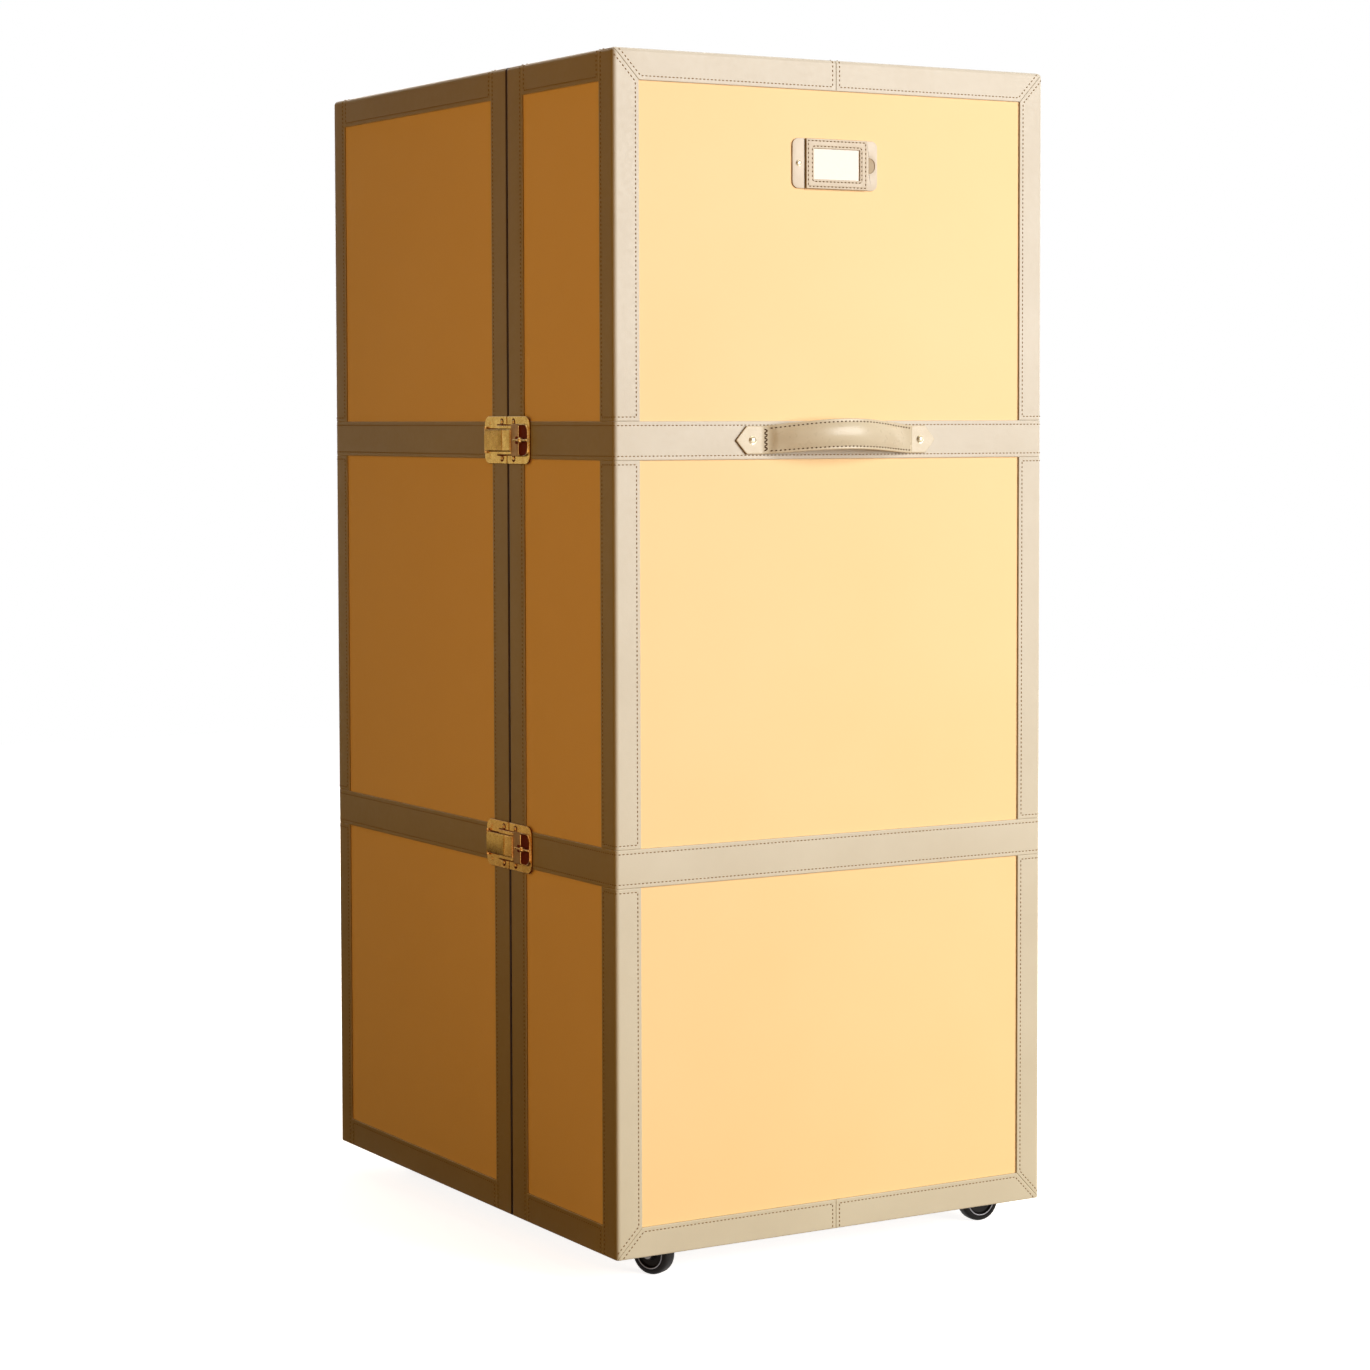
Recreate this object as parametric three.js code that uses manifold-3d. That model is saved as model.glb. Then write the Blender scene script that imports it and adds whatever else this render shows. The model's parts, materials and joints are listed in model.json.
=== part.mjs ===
// A wardrobe trunk on castors. Two plywood halves of unequal depth are covered in canvas, bound in
// leather and joined by a long pin hinge on the right. The rear half holds a pull-out garment rod
// with hangers, and the front half holds a case of drawers.
// Lengths are in millimetres, +Z is up, the face with the handle looks towards -Y, and the origin
// is on the floor, midway between the outermost points.
import * as THREE from "three";
import { mergeVertices } from "three/addons/utils/BufferGeometryUtils.js";
import Module from "manifold-3d";

const wasm = await Module();
wasm.setup();

// Body
const BODY_WIDTH = 586;
const BODY_DEPTH = 732;
const BODY_HEIGHT = 1350;
const FRONT_DEPTH = 252;
const SEAM_GAP = 2.6;
const EDGE_RADIUS = 5;
const ARC_STEPS = 3;

// Skins, from the outside in
const TRIM = 2.2;
const CANVAS = 0.8;
const BOARD = 9;
const LINING = 1;
const GLUE = 0.1;
const FIT = 0.3;
const OVERRUN = 2;

// Leather strips
const STILE_WIDTH = 33;
const TOP_RAIL = 35;
const BOTTOM_RAIL = 34;
const FRONT_SEAM_STRIP = 36.5;
const REAR_SEAM_STRIP = 39;
const BAND_WIDTH = 43.5;
const UPPER_BAND_BELOW_TOP = 433;
const LOWER_BAND_HEIGHT = 440;

// Castors
const CASTOR_HEIGHT = 70;
const CASTOR_SIDE_INSET = 66;
const CASTOR_END_INSET = 61;
const CASTOR_TRAIL = 18;
const CASTOR_DROP = 33;
const CASTOR_PLATE = 56;
const CASTOR_PLATE_THICKNESS = 2.5;
const RACE_RADIUS = 16;
const RACE_HEIGHT = 8;
const KINGPIN_RADIUS = 5;
const FORK_SHEET = 2.4;
const FORK_HALF_LENGTH = 9;
const WHEEL_RADIUS = 25;
const WHEEL_WIDTH = 18;
const WHEEL_CHAMFER = 2.5;
const AXLE_RADIUS = 4;
const WHEEL_SIDES = 24;
const ROUND_SIDES = 16;

// Hinge
const LEAF = 1;
const LEAF_WIDTH = 10;
const HINGE_PIN_RADIUS = 1.5;
const KNUCKLE_RADIUS = 3;
const KNUCKLE_COUNT = 9;
const KNUCKLE_GAP = 0.6;
const HINGE_END_MARGIN = 20;

// Rim lip
const LIP_THICKNESS = 1.5;
const LIP_REACH = 6;
const LIP_ROOT = 20;

// Latches, measured out from the seam and out from the leather
const LATCH_HEIGHT = 55.5;
const KEEPER_LENGTH = 56;
const LATCH_PLATE_LENGTH = 56;
const LATCH_SHEET = 1.6;
const LATCH_CORNER = 10;
const LATCH_SEAM_MARGIN = 0.6;
const HASP_HEIGHT = 25;
const HASP_SHEET = 2.4;
const HASP_OVERLAP = 13;
const HASP_LIFT = 1.5;
const HASP_PIVOT = 50;
const HASP_BARREL_RADIUS = 3;
const HASP_PIN_RADIUS = 1.2;
const HASP_EAR = 3;
const RING_LENGTH = 41;
const RING_HEIGHT = 36;
const RING_LIFT = 1.6;
const DISH_START = 19;
const DISH_LENGTH = 20;
const DISH_HEIGHT = 32.5;
const DISH_CORNER = 8;
const ARM_REACH = 23;
const ARM_WIDTH = 4;
const ARM_THICKNESS = 1.8;
const TURN_CENTRE = 39.3;
const TURN_BAR_HALF = 18;
const TURN_BAR_RADIUS = 1.6;
const TURN_BALL_RADIUS = 3.4;
const TURN_STEM_RADIUS = 2;
const LATCH_RIVET_RADIUS = 2.8;
const LATCH_RIVET_RISE = 1;
const KEEPER_RIVET_PLACE = 12.4;
const PLATE_RIVET_PLACE = 16.8;
const LATCH_RIVET_EDGE = 6.5;

// Carry handle
const HANDLE_HALF_LENGTH = 135;
const HANDLE_WIDTH = 32;
const HANDLE_THICKNESS = 4.5;
const HANDLE_BOW = 27;
const HANDLE_RISE = 7;
const HANDLE_FREE_HALF = 98;
const HANDLE_POINT = 14;
const HANDLE_STEPS = 16;
const HANDLE_RIVET_PLACE = 115;
const STUD_RADIUS = 4.5;
const STUD_RISE = 2.4;

// Label holder
const LABEL_LENGTH = 116;
const LABEL_HEIGHT = 57;
const LABEL_BELOW_TOP = 118.5;
const LABEL_SHEET = 1.2;
const LABEL_CORNER = 8;
const LABEL_FRAME_START = 18;
const LABEL_FRAME_LENGTH = 83;
const LABEL_FRAME_THICKNESS = 2;
const LABEL_WINDOW_LENGTH = 64.5;
const LABEL_WINDOW_HEIGHT = 36;
const LABEL_WINDOW_START = 11;
const CARD_LENGTH = 74;
const CARD_HEIGHT = 44;
const CARD_THICKNESS = 0.5;
const LABEL_STUD_PLACE = 8.5;
const LABEL_STUD_RADIUS = 3;

// Drawers
const DRAWER_COUNT = 3;
const CASE_HEIGHT = 760;
const CASE_BOARD = 9;
const CASE_SET_BACK = 10;
const DRAWER_FRONT = 12;
const DRAWER_SIDE = 8;
const DRAWER_FLOOR = 5;
const DRAWER_SIDE_GAP = 1;
const DRAWER_TOP_GAP = 2;
const PULL_LENGTH = 96;
const PULL_REACH = 16;
const PULL_SIZE = 8;
const PULL_CORNER = 2;

// Garment rod and hangers
const RUNNER_END_GAP = 41.4;
const RUNNER_WIDTH = 26;
const RUNNER_HEIGHT = 14;
const RUNNER_SHEET = 2;
const RUNNER_SLOT = 12;
const RUNNER_SET_BACK = 4;
const SLIDER_GAP = 0.5;
const ROD_RADIUS = 6;
const ROD_DROP = 34;
const ROD_POST = 8;
const HANGER_COUNT = 3;
const HANGER_PITCH = 90;
const HANGER_HALF_WIDTH = 212;
const HANGER_THICKNESS = 12;
const HANGER_DEPTH = 30;
const HANGER_SLOPE = 62;
const HANGER_NECK = 46;
const HANGER_NECK_SHARE = 0.08;
const HANGER_SHARES = [-1, -0.75, -0.5, -0.25, -0.08, 0.08, 0.25, 0.5, 0.75, 1];
const HOOK_WIRE_RADIUS = 1.75;
const HOOK_BEND = 11;
const HOOK_SIDES = 8;
const HOOK_STEPS = 20;

// Worked out from the sizes above
const BODY_TOP = CASTOR_DROP + BODY_HEIGHT;
const UPPER_BAND_HEIGHT = BODY_HEIGHT - UPPER_BAND_BELOW_TOP;
const SEAM = -BODY_DEPTH / 2 + FRONT_DEPTH;
const SKIN = TRIM + GLUE + CANVAS + GLUE;
const WALL = SKIN + BOARD;
const LINED = WALL + GLUE + LINING;
const INNER_HALF = BODY_WIDTH / 2 - LINED;
const INNER_FLOOR = CASTOR_HEIGHT + BOARD + GLUE + LINING;
const INNER_TOP = BODY_TOP - LINED;
const HINGE_X = BODY_WIDTH / 2 + KNUCKLE_RADIUS + FIT;
const HINGE_REACH = KNUCKLE_RADIUS * 2 + FIT;
const TURN_BAR_LIFT = LATCH_SHEET + RING_LIFT + FIT + TURN_BAR_RADIUS;
const LATCH_REACH = GLUE + TURN_BAR_LIFT + TURN_BALL_RADIUS;
const HANDLE_REACH = GLUE + HANDLE_BOW + HANDLE_THICKNESS;
const AXLE_HEIGHT = WHEEL_RADIUS * Math.cos(Math.PI / WHEEL_SIDES);

// Finishes
const finishes = {
  canvas: { color: 0xfddca0, roughness: 0.85 },
  leather: { color: 0xe3d0b4, roughness: 0.6 },
  strap_leather: { color: 0xcbb08a, roughness: 0.5 },
  plywood: { color: 0xb98a57, roughness: 0.7 },
  lining: { color: 0xe9dcc3, roughness: 0.9 },
  brass: { color: 0xd4a94e, roughness: 0.25, metalness: 1 },
  steel: { color: 0xb5b5b5, roughness: 0.3, metalness: 1 },
  rubber: { color: 0x1d1b1a, roughness: 0.7 },
  black_steel: { color: 0x2b2a29, roughness: 0.4, metalness: 0.8 },
  beech: { color: 0xd9b384, roughness: 0.5 },
  card: { color: 0xfbf7ec, roughness: 0.9 },
};

// The two halves: the outer face, the rim at the seam, and the way from one to the other.
const front = {
  name: "front",
  face: -BODY_DEPTH / 2,
  rim: SEAM - SEAM_GAP / 2,
  inward: 1,
  seamStrip: FRONT_SEAM_STRIP,
};
const rear = {
  name: "rear",
  face: BODY_DEPTH / 2,
  rim: SEAM + SEAM_GAP / 2,
  inward: -1,
  seamStrip: REAR_SEAM_STRIP,
};

const trunk = new THREE.Group();
trunk.position.set((LATCH_REACH - HINGE_REACH) / 2, HANDLE_REACH / 2, 0);

// Puts a closed geometry, or a solid made from some, into a group as a named mesh.
function piece(name, finish, shape, parent = trunk) {
  const geometry = shape.isBufferGeometry ? shape : geometryOf(shape);
  const mesh = new THREE.Mesh(geometry, new THREE.MeshStandardMaterial(finishes[finish]));
  mesh.name = name;
  parent.add(mesh);
}

function geometryOf(solid) {
  const mesh = solid.getMesh();
  const geometry = new THREE.BufferGeometry();
  geometry.setAttribute("position", new THREE.BufferAttribute(mesh.vertProperties, 3));
  geometry.setIndex(new THREE.BufferAttribute(mesh.triVerts, 1));
  geometry.computeVertexNormals();
  return geometry;
}

function solidOf(geometry) {
  geometry.deleteAttribute("normal");
  geometry.deleteAttribute("uv");
  const merged = mergeVertices(geometry);
  return new wasm.Manifold(
    new wasm.Mesh({
      numProp: 3,
      vertProperties: merged.attributes.position.array,
      triVerts: new Uint32Array(merged.index.array),
    }),
  );
}

// A block between two values along each axis, given in either order.
function block(x, y, z) {
  const geometry = new THREE.BoxGeometry(
    Math.abs(x[1] - x[0]),
    Math.abs(y[1] - y[0]),
    Math.abs(z[1] - z[0]),
  );
  geometry.translate((x[0] + x[1]) / 2, (y[0] + y[1]) / 2, (z[0] + z[1]) / 2);
  return solidOf(geometry);
}

// An outline with rounded corners. Each corner is [across, up, radius].
function roundedShape(corners) {
  const points = corners.flatMap(([across, up, radius = 0], i) => {
    const corner = new THREE.Vector2(across, up);
    if (radius <= 0) return [corner];
    const [before, after] = [i - 1, i + 1].map((k) => {
      const next = corners.at(k % corners.length);
      return new THREE.Vector2(next[0], next[1]).sub(corner).setLength(radius);
    });
    return Array.from({ length: ARC_STEPS + 1 }, (_, step) => {
      const turn = (step / ARC_STEPS) * (Math.PI / 2);
      return corner
        .clone()
        .addScaledVector(before, 1 - Math.sin(turn))
        .addScaledVector(after, 1 - Math.cos(turn));
    });
  });
  return new THREE.Shape(points);
}

// An outline carried along an axis: its two directions are the axes that are left, in order.
const X = new THREE.Vector3(1, 0, 0);
const Y = new THREE.Vector3(0, 1, 0);
const Z = new THREE.Vector3(0, 0, 1);
const turns = {
  x: new THREE.Matrix4().makeBasis(Y, Z, X),
  y: new THREE.Matrix4().makeBasis(X, Z, Y.clone().negate()),
  z: new THREE.Matrix4(),
};
function prism(corners, axis, ends) {
  const [low, high] = [Math.min(...ends), Math.max(...ends)];
  const options = { depth: high - low, bevelEnabled: false };
  const geometry = new THREE.ExtrudeGeometry(roundedShape(corners), options);
  geometry.translate(0, 0, axis === "y" ? -high : low);
  return solidOf(geometry.applyMatrix4(turns[axis]));
}

function rectangle(across, up, radius = 0) {
  return [
    [across[0], up[0], radius],
    [across[1], up[0], radius],
    [across[1], up[1], radius],
    [across[0], up[1], radius],
  ];
}

// A cylinder along an axis, between two values on it, with a flat towards each main direction.
function rod(radius, axis, ends, centre, sides = ROUND_SIDES) {
  const geometry = new THREE.CylinderGeometry(
    radius,
    radius,
    Math.abs(ends[1] - ends[0]),
    sides,
    1,
    false,
    Math.PI / sides,
  );
  if (axis === "x") geometry.rotateZ(Math.PI / 2);
  if (axis === "z") geometry.rotateX(Math.PI / 2);
  const middle = (ends[0] + ends[1]) / 2;
  const place = axis === "x" ? [middle, ...centre] : [centre[0], middle, centre[1]];
  if (axis === "z") place.splice(1, 2, centre[1], middle);
  geometry.translate(...place);
  return solidOf(geometry);
}

// A turned piece: the profile is [radius, along], and it starts and ends on the axis or closes on
// itself. Its axis points out of the face with the handle, towards -Y.
function turned(profile, sides, centre) {
  const points = profile.map(([radius, along]) => new THREE.Vector2(radius, along));
  const geometry = new THREE.LatheGeometry(points, sides);
  return solidOf(geometry.rotateZ(Math.PI).translate(...centre));
}

// The outside of a half, drawn in by an inset, open or closed at its rim and at its foot.
function bodyBlock(half, inset, past = 0) {
  const radius = EDGE_RADIUS - inset;
  const side = BODY_WIDTH / 2 - inset;
  const outer = half.face + half.inward * inset;
  const rim = half.rim + half.inward * past;
  const top = BODY_TOP - inset;
  const foot = CASTOR_DROP - past;
  const across = prism(
    [[-side, foot], [side, foot], [side, top, radius], [-side, top, radius]], "y", [outer, rim],
  );
  const along = prism(
    [[outer, foot], [rim, foot], [rim, top], [outer, top, radius]], "x", [-side, side],
  );
  return planBlock(half, inset, [foot, top], past).intersect(across).intersect(along);
}

// The same outside, seen from above, between two heights.
function planBlock(half, inset, heights, past = 0) {
  const radius = EDGE_RADIUS - inset;
  const side = BODY_WIDTH / 2 - inset;
  const outer = half.face + half.inward * inset;
  const rim = half.rim + half.inward * past;
  const corners = [[-side, rim], [side, rim], [side, outer, radius], [-side, outer, radius]];
  return prism(corners, "z", heights);
}

function makeCarcass(half) {
  const side = BODY_WIDTH / 2 - WALL;
  const outer = half.face + half.inward * WALL;
  const inside = block(
    [-side, side],
    [outer, half.rim + half.inward * OVERRUN],
    [CASTOR_HEIGHT + BOARD, BODY_TOP - WALL],
  );
  const recess = block(
    [-side, side],
    [outer, half.rim - half.inward * BOARD],
    [CASTOR_DROP - OVERRUN, CASTOR_HEIGHT],
  );
  piece(half.name + "_carcass", "plywood", bodyBlock(half, SKIN).subtract(inside).subtract(recess));
}

function makeCovering(half) {
  const canvas = bodyBlock(half, TRIM + GLUE).subtract(bodyBlock(half, SKIN - GLUE, OVERRUN));
  piece(half.name + "_covering", "canvas", canvas);
}

// The leather cage: every edge is bound, and the panels show through its windows. It is pared
// down to half its thickness where the bands cross it.
function makeEdgeTrim(half) {
  const side = BODY_WIDTH / 2 - STILE_WIDTH;
  const near = half.face + half.inward * STILE_WIDTH;
  const far = half.rim - half.inward * half.seamStrip;
  const heights = [CASTOR_DROP + BOTTOM_RAIL, BODY_TOP - TOP_RAIL];
  const past = BODY_WIDTH / 2 + OVERRUN;
  const faceWindow = block(
    [-side, side],
    [half.face - half.inward * OVERRUN, half.face + half.inward * (TRIM + OVERRUN)],
    heights,
  );
  const sideWindows = block([-past, past], [near, far], heights);
  const topWindow = block([-side, side], [near, far], [BODY_TOP - TRIM - OVERRUN, BODY_TOP + OVERRUN]);
  let cage = bodyBlock(half, 0)
    .subtract(bodyBlock(half, TRIM, OVERRUN))
    .subtract(faceWindow)
    .subtract(sideWindows)
    .subtract(topWindow);
  for (const height of [UPPER_BAND_HEIGHT, LOWER_BAND_HEIGHT]) {
    const reach = bandHeights(height, GLUE);
    const core = planBlock(half, TRIM / 2, bandHeights(height, OVERRUN), OVERRUN * 2);
    cage = cage.subtract(planBlock(half, -OVERRUN, reach, OVERRUN).subtract(core));
  }
  piece(half.name + "_edge_trim", "leather", cage);
}

function bandHeights(height, spare = 0) {
  const middle = CASTOR_DROP + height;
  return [middle - BAND_WIDTH / 2 - spare, middle + BAND_WIDTH / 2 + spare];
}

// A band goes round three sides of a half. It is thick in the windows and pared over the cage.
function makeBand(half, name, height) {
  const heights = bandHeights(height);
  const pared = planBlock(half, 0, heights).subtract(
    planBlock(half, TRIM / 2 - GLUE, bandHeights(height, OVERRUN), OVERRUN),
  );
  const side = BODY_WIDTH / 2;
  const faceFill = side - STILE_WIDTH - FIT;
  const near = half.face + half.inward * (STILE_WIDTH + FIT);
  const far = half.rim - half.inward * (half.seamStrip + FIT);
  const band = pared
    .add(block([-faceFill, faceFill], [half.face, half.face + half.inward * TRIM], heights))
    .add(block([-side, -side + TRIM], [near, far], heights))
    .add(block([side - TRIM, side], [near, far], heights));
  piece(half.name + "_" + name + "_band", "leather", band);
}

function makeLining(half) {
  const outer = BODY_WIDTH / 2 - WALL - GLUE;
  const back = half.face + half.inward * (WALL + GLUE);
  const shell = block(
    [-outer, outer],
    [back, half.rim],
    [INNER_FLOOR - LINING, INNER_TOP + LINING],
  );
  const hollow = block(
    [-INNER_HALF, INNER_HALF],
    [back + half.inward * LINING, half.rim + half.inward * OVERRUN],
    [INNER_FLOOR, INNER_TOP],
  );
  piece(half.name + "_lining", "lining", shell.subtract(hollow));
}

// A brass lip round the mouth of the rear half enters the front half and keeps dust out.
function makeRimLip() {
  const side = INNER_HALF - FIT;
  const heights = [INNER_FLOOR + FIT, INNER_TOP - FIT];
  const ends = [rear.rim + LIP_ROOT, SEAM - SEAM_GAP / 2 - LIP_REACH];
  const hollowEnds = [ends[0] + OVERRUN, ends[1] - OVERRUN];
  const hollow = block(
    [-side + LIP_THICKNESS, side - LIP_THICKNESS],
    hollowEnds,
    [heights[0] + LIP_THICKNESS, heights[1] - LIP_THICKNESS],
  );
  piece("rear_rim_lip", "brass", block([-side, side], ends, heights).subtract(hollow));
}

// The hinge: two leaves on the rims, and knuckles that take turns along one pin.
function makeHinge() {
  const low = CASTOR_DROP + HINGE_END_MARGIN;
  const pitch = (BODY_HEIGHT - 2 * HINGE_END_MARGIN) / KNUCKLE_COUNT;
  const axis = [HINGE_X, SEAM];
  const all = [low, low + KNUCKLE_COUNT * pitch];
  const bore = rod(HINGE_PIN_RADIUS + FIT, "z", [all[0] - OVERRUN, all[1] + OVERRUN], axis);
  const leafEdge = HINGE_X - KNUCKLE_RADIUS - FIT;
  for (const half of [rear, front]) {
    const leafFaces = [half.rim + half.inward * GLUE, half.rim + half.inward * (GLUE + LEAF)];
    let leaf = block([leafEdge - LEAF_WIDTH, leafEdge], leafFaces, all);
    for (let k = half === rear ? 0 : 1; k < KNUCKLE_COUNT; k += 2) {
      const heights = [low + k * pitch + KNUCKLE_GAP / 2, low + (k + 1) * pitch - KNUCKLE_GAP / 2];
      leaf = leaf
        .add(block([leafEdge - FIT, HINGE_X], leafFaces, heights))
        .add(rod(KNUCKLE_RADIUS, "z", heights, axis));
    }
    piece("hinge_" + half.name + "_leaf", "brass", leaf.subtract(bore));
  }
  piece("hinge_pin", "brass", rod(HINGE_PIN_RADIUS, "z", all, axis));
}

// One latch across the seam. out() is a place out from the leather, and to() one out from the seam,
// positive towards the front.
const out = (distance) => -BODY_WIDTH / 2 - GLUE - distance;
const to = (distance) => SEAM - distance;
function makeLatch(name, height) {
  const middle = CASTOR_DROP + height;
  const around = (half) => [middle - half, middle + half];
  const plateFaces = [out(0), out(LATCH_SHEET)];
  const tall = around(LATCH_HEIGHT / 2);
  const latchPlate = (length, way) =>
    prism(
      [
        [to(way * LATCH_SEAM_MARGIN), tall[0]],
        [to(way * length), tall[0], LATCH_CORNER],
        [to(way * length), tall[1], LATCH_CORNER],
        [to(way * LATCH_SEAM_MARGIN), tall[1]],
      ],
      "x",
      plateFaces,
    );
  const rivets = (plate, place) =>
    around(LATCH_HEIGHT / 2 - LATCH_RIVET_EDGE).reduce(
      (sum, z) =>
        sum.add(
          rod(LATCH_RIVET_RADIUS, "x", [out(0), out(LATCH_SHEET + LATCH_RIVET_RISE)], [to(place), z]),
        ),
      plate,
    );

  // Keeper plate with two ears and the pin that the hasp turns on
  const pivotLift = LATCH_SHEET + FIT + HASP_BARREL_RADIUS;
  const pivot = [out(pivotLift), to(-HASP_PIVOT)];
  const earStart = HASP_HEIGHT / 2 + FIT;
  const earEnd = earStart + HASP_EAR;
  let keeper = rivets(latchPlate(KEEPER_LENGTH, -1), -KEEPER_RIVET_PLACE);
  for (const way of [-1, 1]) {
    const ends = [middle + way * earStart, middle + way * earEnd];
    const earHalf = HASP_BARREL_RADIUS;
    keeper = keeper.add(
      block(
        [out(0), out(pivotLift + HASP_PIN_RADIUS)],
        [to(-HASP_PIVOT - earHalf), to(-HASP_PIVOT + earHalf)],
        ends,
      ),
    );
  }
  keeper = keeper.add(rod(HASP_PIN_RADIUS, "z", around(earEnd - FIT), pivot));
  piece(name + "_latch_keeper", "brass", keeper);

  // Hasp
  const haspFaces = [out(LATCH_SHEET + HASP_LIFT), out(LATCH_SHEET + HASP_LIFT + HASP_SHEET)];
  const haspTall = around(HASP_HEIGHT / 2);
  const hasp = block(haspFaces, [to(-HASP_PIVOT), to(HASP_OVERLAP)], haspTall)
    .add(rod(HASP_BARREL_RADIUS, "z", haspTall, pivot))
    .subtract(rod(HASP_PIN_RADIUS + FIT, "z", around(HASP_HEIGHT / 2 + OVERRUN), pivot));
  piece(name + "_latch_hasp", "brass", hasp);

  // Front plate with a raised ring, its dish, and two arms that reach over the keeper
  const ringStart = HASP_OVERLAP + FIT;
  const ringEnd = ringStart + RING_LENGTH;
  const ringFaces = [out(0), out(LATCH_SHEET + RING_LIFT)];
  const [ringLow, ringHigh] = around(RING_HEIGHT / 2);
  const ring = prism(
    [
      [to(ringStart), ringLow],
      [to(ringEnd), ringLow, LATCH_CORNER],
      [to(ringEnd), ringHigh, LATCH_CORNER],
      [to(ringStart), ringHigh],
    ],
    "x",
    ringFaces,
  );
  const dishStart = ringStart + DISH_START;
  const dishEnd = dishStart + DISH_LENGTH;
  const [dishLow, dishHigh] = around(DISH_HEIGHT / 2);
  const dish = prism(
    [
      [to(dishStart), dishLow],
      [to(dishEnd), dishLow, DISH_CORNER],
      [to(dishEnd), dishHigh, DISH_CORNER],
      [to(dishStart), dishHigh],
    ],
    "x",
    [out(LATCH_SHEET), out(LATCH_SHEET + RING_LIFT + OVERRUN)],
  );
  let plate = rivets(latchPlate(LATCH_PLATE_LENGTH, 1), PLATE_RIVET_PLACE).add(ring).subtract(dish);
  const armFaces = [out(LATCH_SHEET + FIT), out(LATCH_SHEET + FIT + ARM_THICKNESS)];
  for (const way of [-1, 1]) {
    const armStart = HASP_HEIGHT / 2 + FIT * 2;
    const ends = [middle + way * armStart, middle + way * (armStart + ARM_WIDTH)];
    plate = plate.add(block(armFaces, [to(-ARM_REACH), to(ringStart + ARM_WIDTH)], ends));
  }
  piece(name + "_latch_plate", "brass", plate);

  // Thumb turn: a bar with a ball, on a stem that stands in the dish
  const turnMiddle = [to(TURN_CENTRE), middle];
  const ball = new THREE.SphereGeometry(TURN_BALL_RADIUS, ROUND_SIDES / 2, ROUND_SIDES / 2);
  ball.translate(out(TURN_BAR_LIFT), ...turnMiddle);
  const turn = rod(TURN_STEM_RADIUS, "x", [out(LATCH_SHEET + FIT), out(TURN_BAR_LIFT)], turnMiddle)
    .add(
      rod(
        TURN_BAR_RADIUS,
        "y",
        [to(TURN_CENTRE - TURN_BAR_HALF), to(TURN_CENTRE + TURN_BAR_HALF)],
        [out(TURN_BAR_LIFT), middle],
      ),
    )
    .add(solidOf(ball));
  piece(name + "_latch_turn", "brass", turn);
}

// A leather strap with pointed ends: bowed outwards seen from above, arched seen from the front.
function makeHandle() {
  const middle = CASTOR_DROP + UPPER_BAND_HEIGHT;
  const face = front.face - GLUE;
  const swell = (x) =>
    Math.abs(x) >= HANDLE_FREE_HALF ? 0 : (1 + Math.cos((Math.PI * x) / HANDLE_FREE_HALF)) / 2;
  const stations = Array.from(
    { length: HANDLE_STEPS + 1 },
    (_, i) => HANDLE_FREE_HALF * ((2 * i) / HANDLE_STEPS - 1),
  );
  const xs = [-HANDLE_HALF_LENGTH, ...stations, HANDLE_HALF_LENGTH];
  const loop = (near, far) => [
    ...xs.map((x) => [x, near(x)]),
    ...xs.toReversed().map((x) => [x, far(x)]),
  ];
  const plan = prism(
    loop(
      (x) => face - HANDLE_BOW * swell(x),
      (x) => face - HANDLE_BOW * swell(x) - HANDLE_THICKNESS,
    ),
    "z",
    [middle - HANDLE_WIDTH, middle + HANDLE_WIDTH],
  );
  const shoulder = HANDLE_HALF_LENGTH - HANDLE_POINT;
  const inner = [-shoulder, ...stations, shoulder];
  const rise = (x) => middle + HANDLE_RISE * swell(x);
  const elevation = prism(
    [
      [-HANDLE_HALF_LENGTH, middle],
      ...inner.map((x) => [x, rise(x) - HANDLE_WIDTH / 2]),
      [HANDLE_HALF_LENGTH, middle],
      ...inner.toReversed().map((x) => [x, rise(x) + HANDLE_WIDTH / 2]),
    ],
    "y",
    [face + OVERRUN, face - HANDLE_BOW - HANDLE_THICKNESS - OVERRUN],
  );
  piece("carry_handle", "strap_leather", plan.intersect(elevation));
  const strapFace = face - HANDLE_THICKNESS - FIT;
  for (const [side, way] of [["left", -1], ["right", 1]]) {
    const centre = [way * HANDLE_RIVET_PLACE, strapFace, middle];
    piece("handle_rivet_" + side, "brass", stud(STUD_RADIUS, STUD_RISE, centre));
  }
}

// A low round stud with a flat back, on the face with the handle.
function stud(radius, rise, centre) {
  const profile = [[0, 0], [radius, 0], [radius, rise / 3], [radius / 2, rise], [0, rise]];
  return turned(profile, ROUND_SIDES / 2, centre);
}

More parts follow.
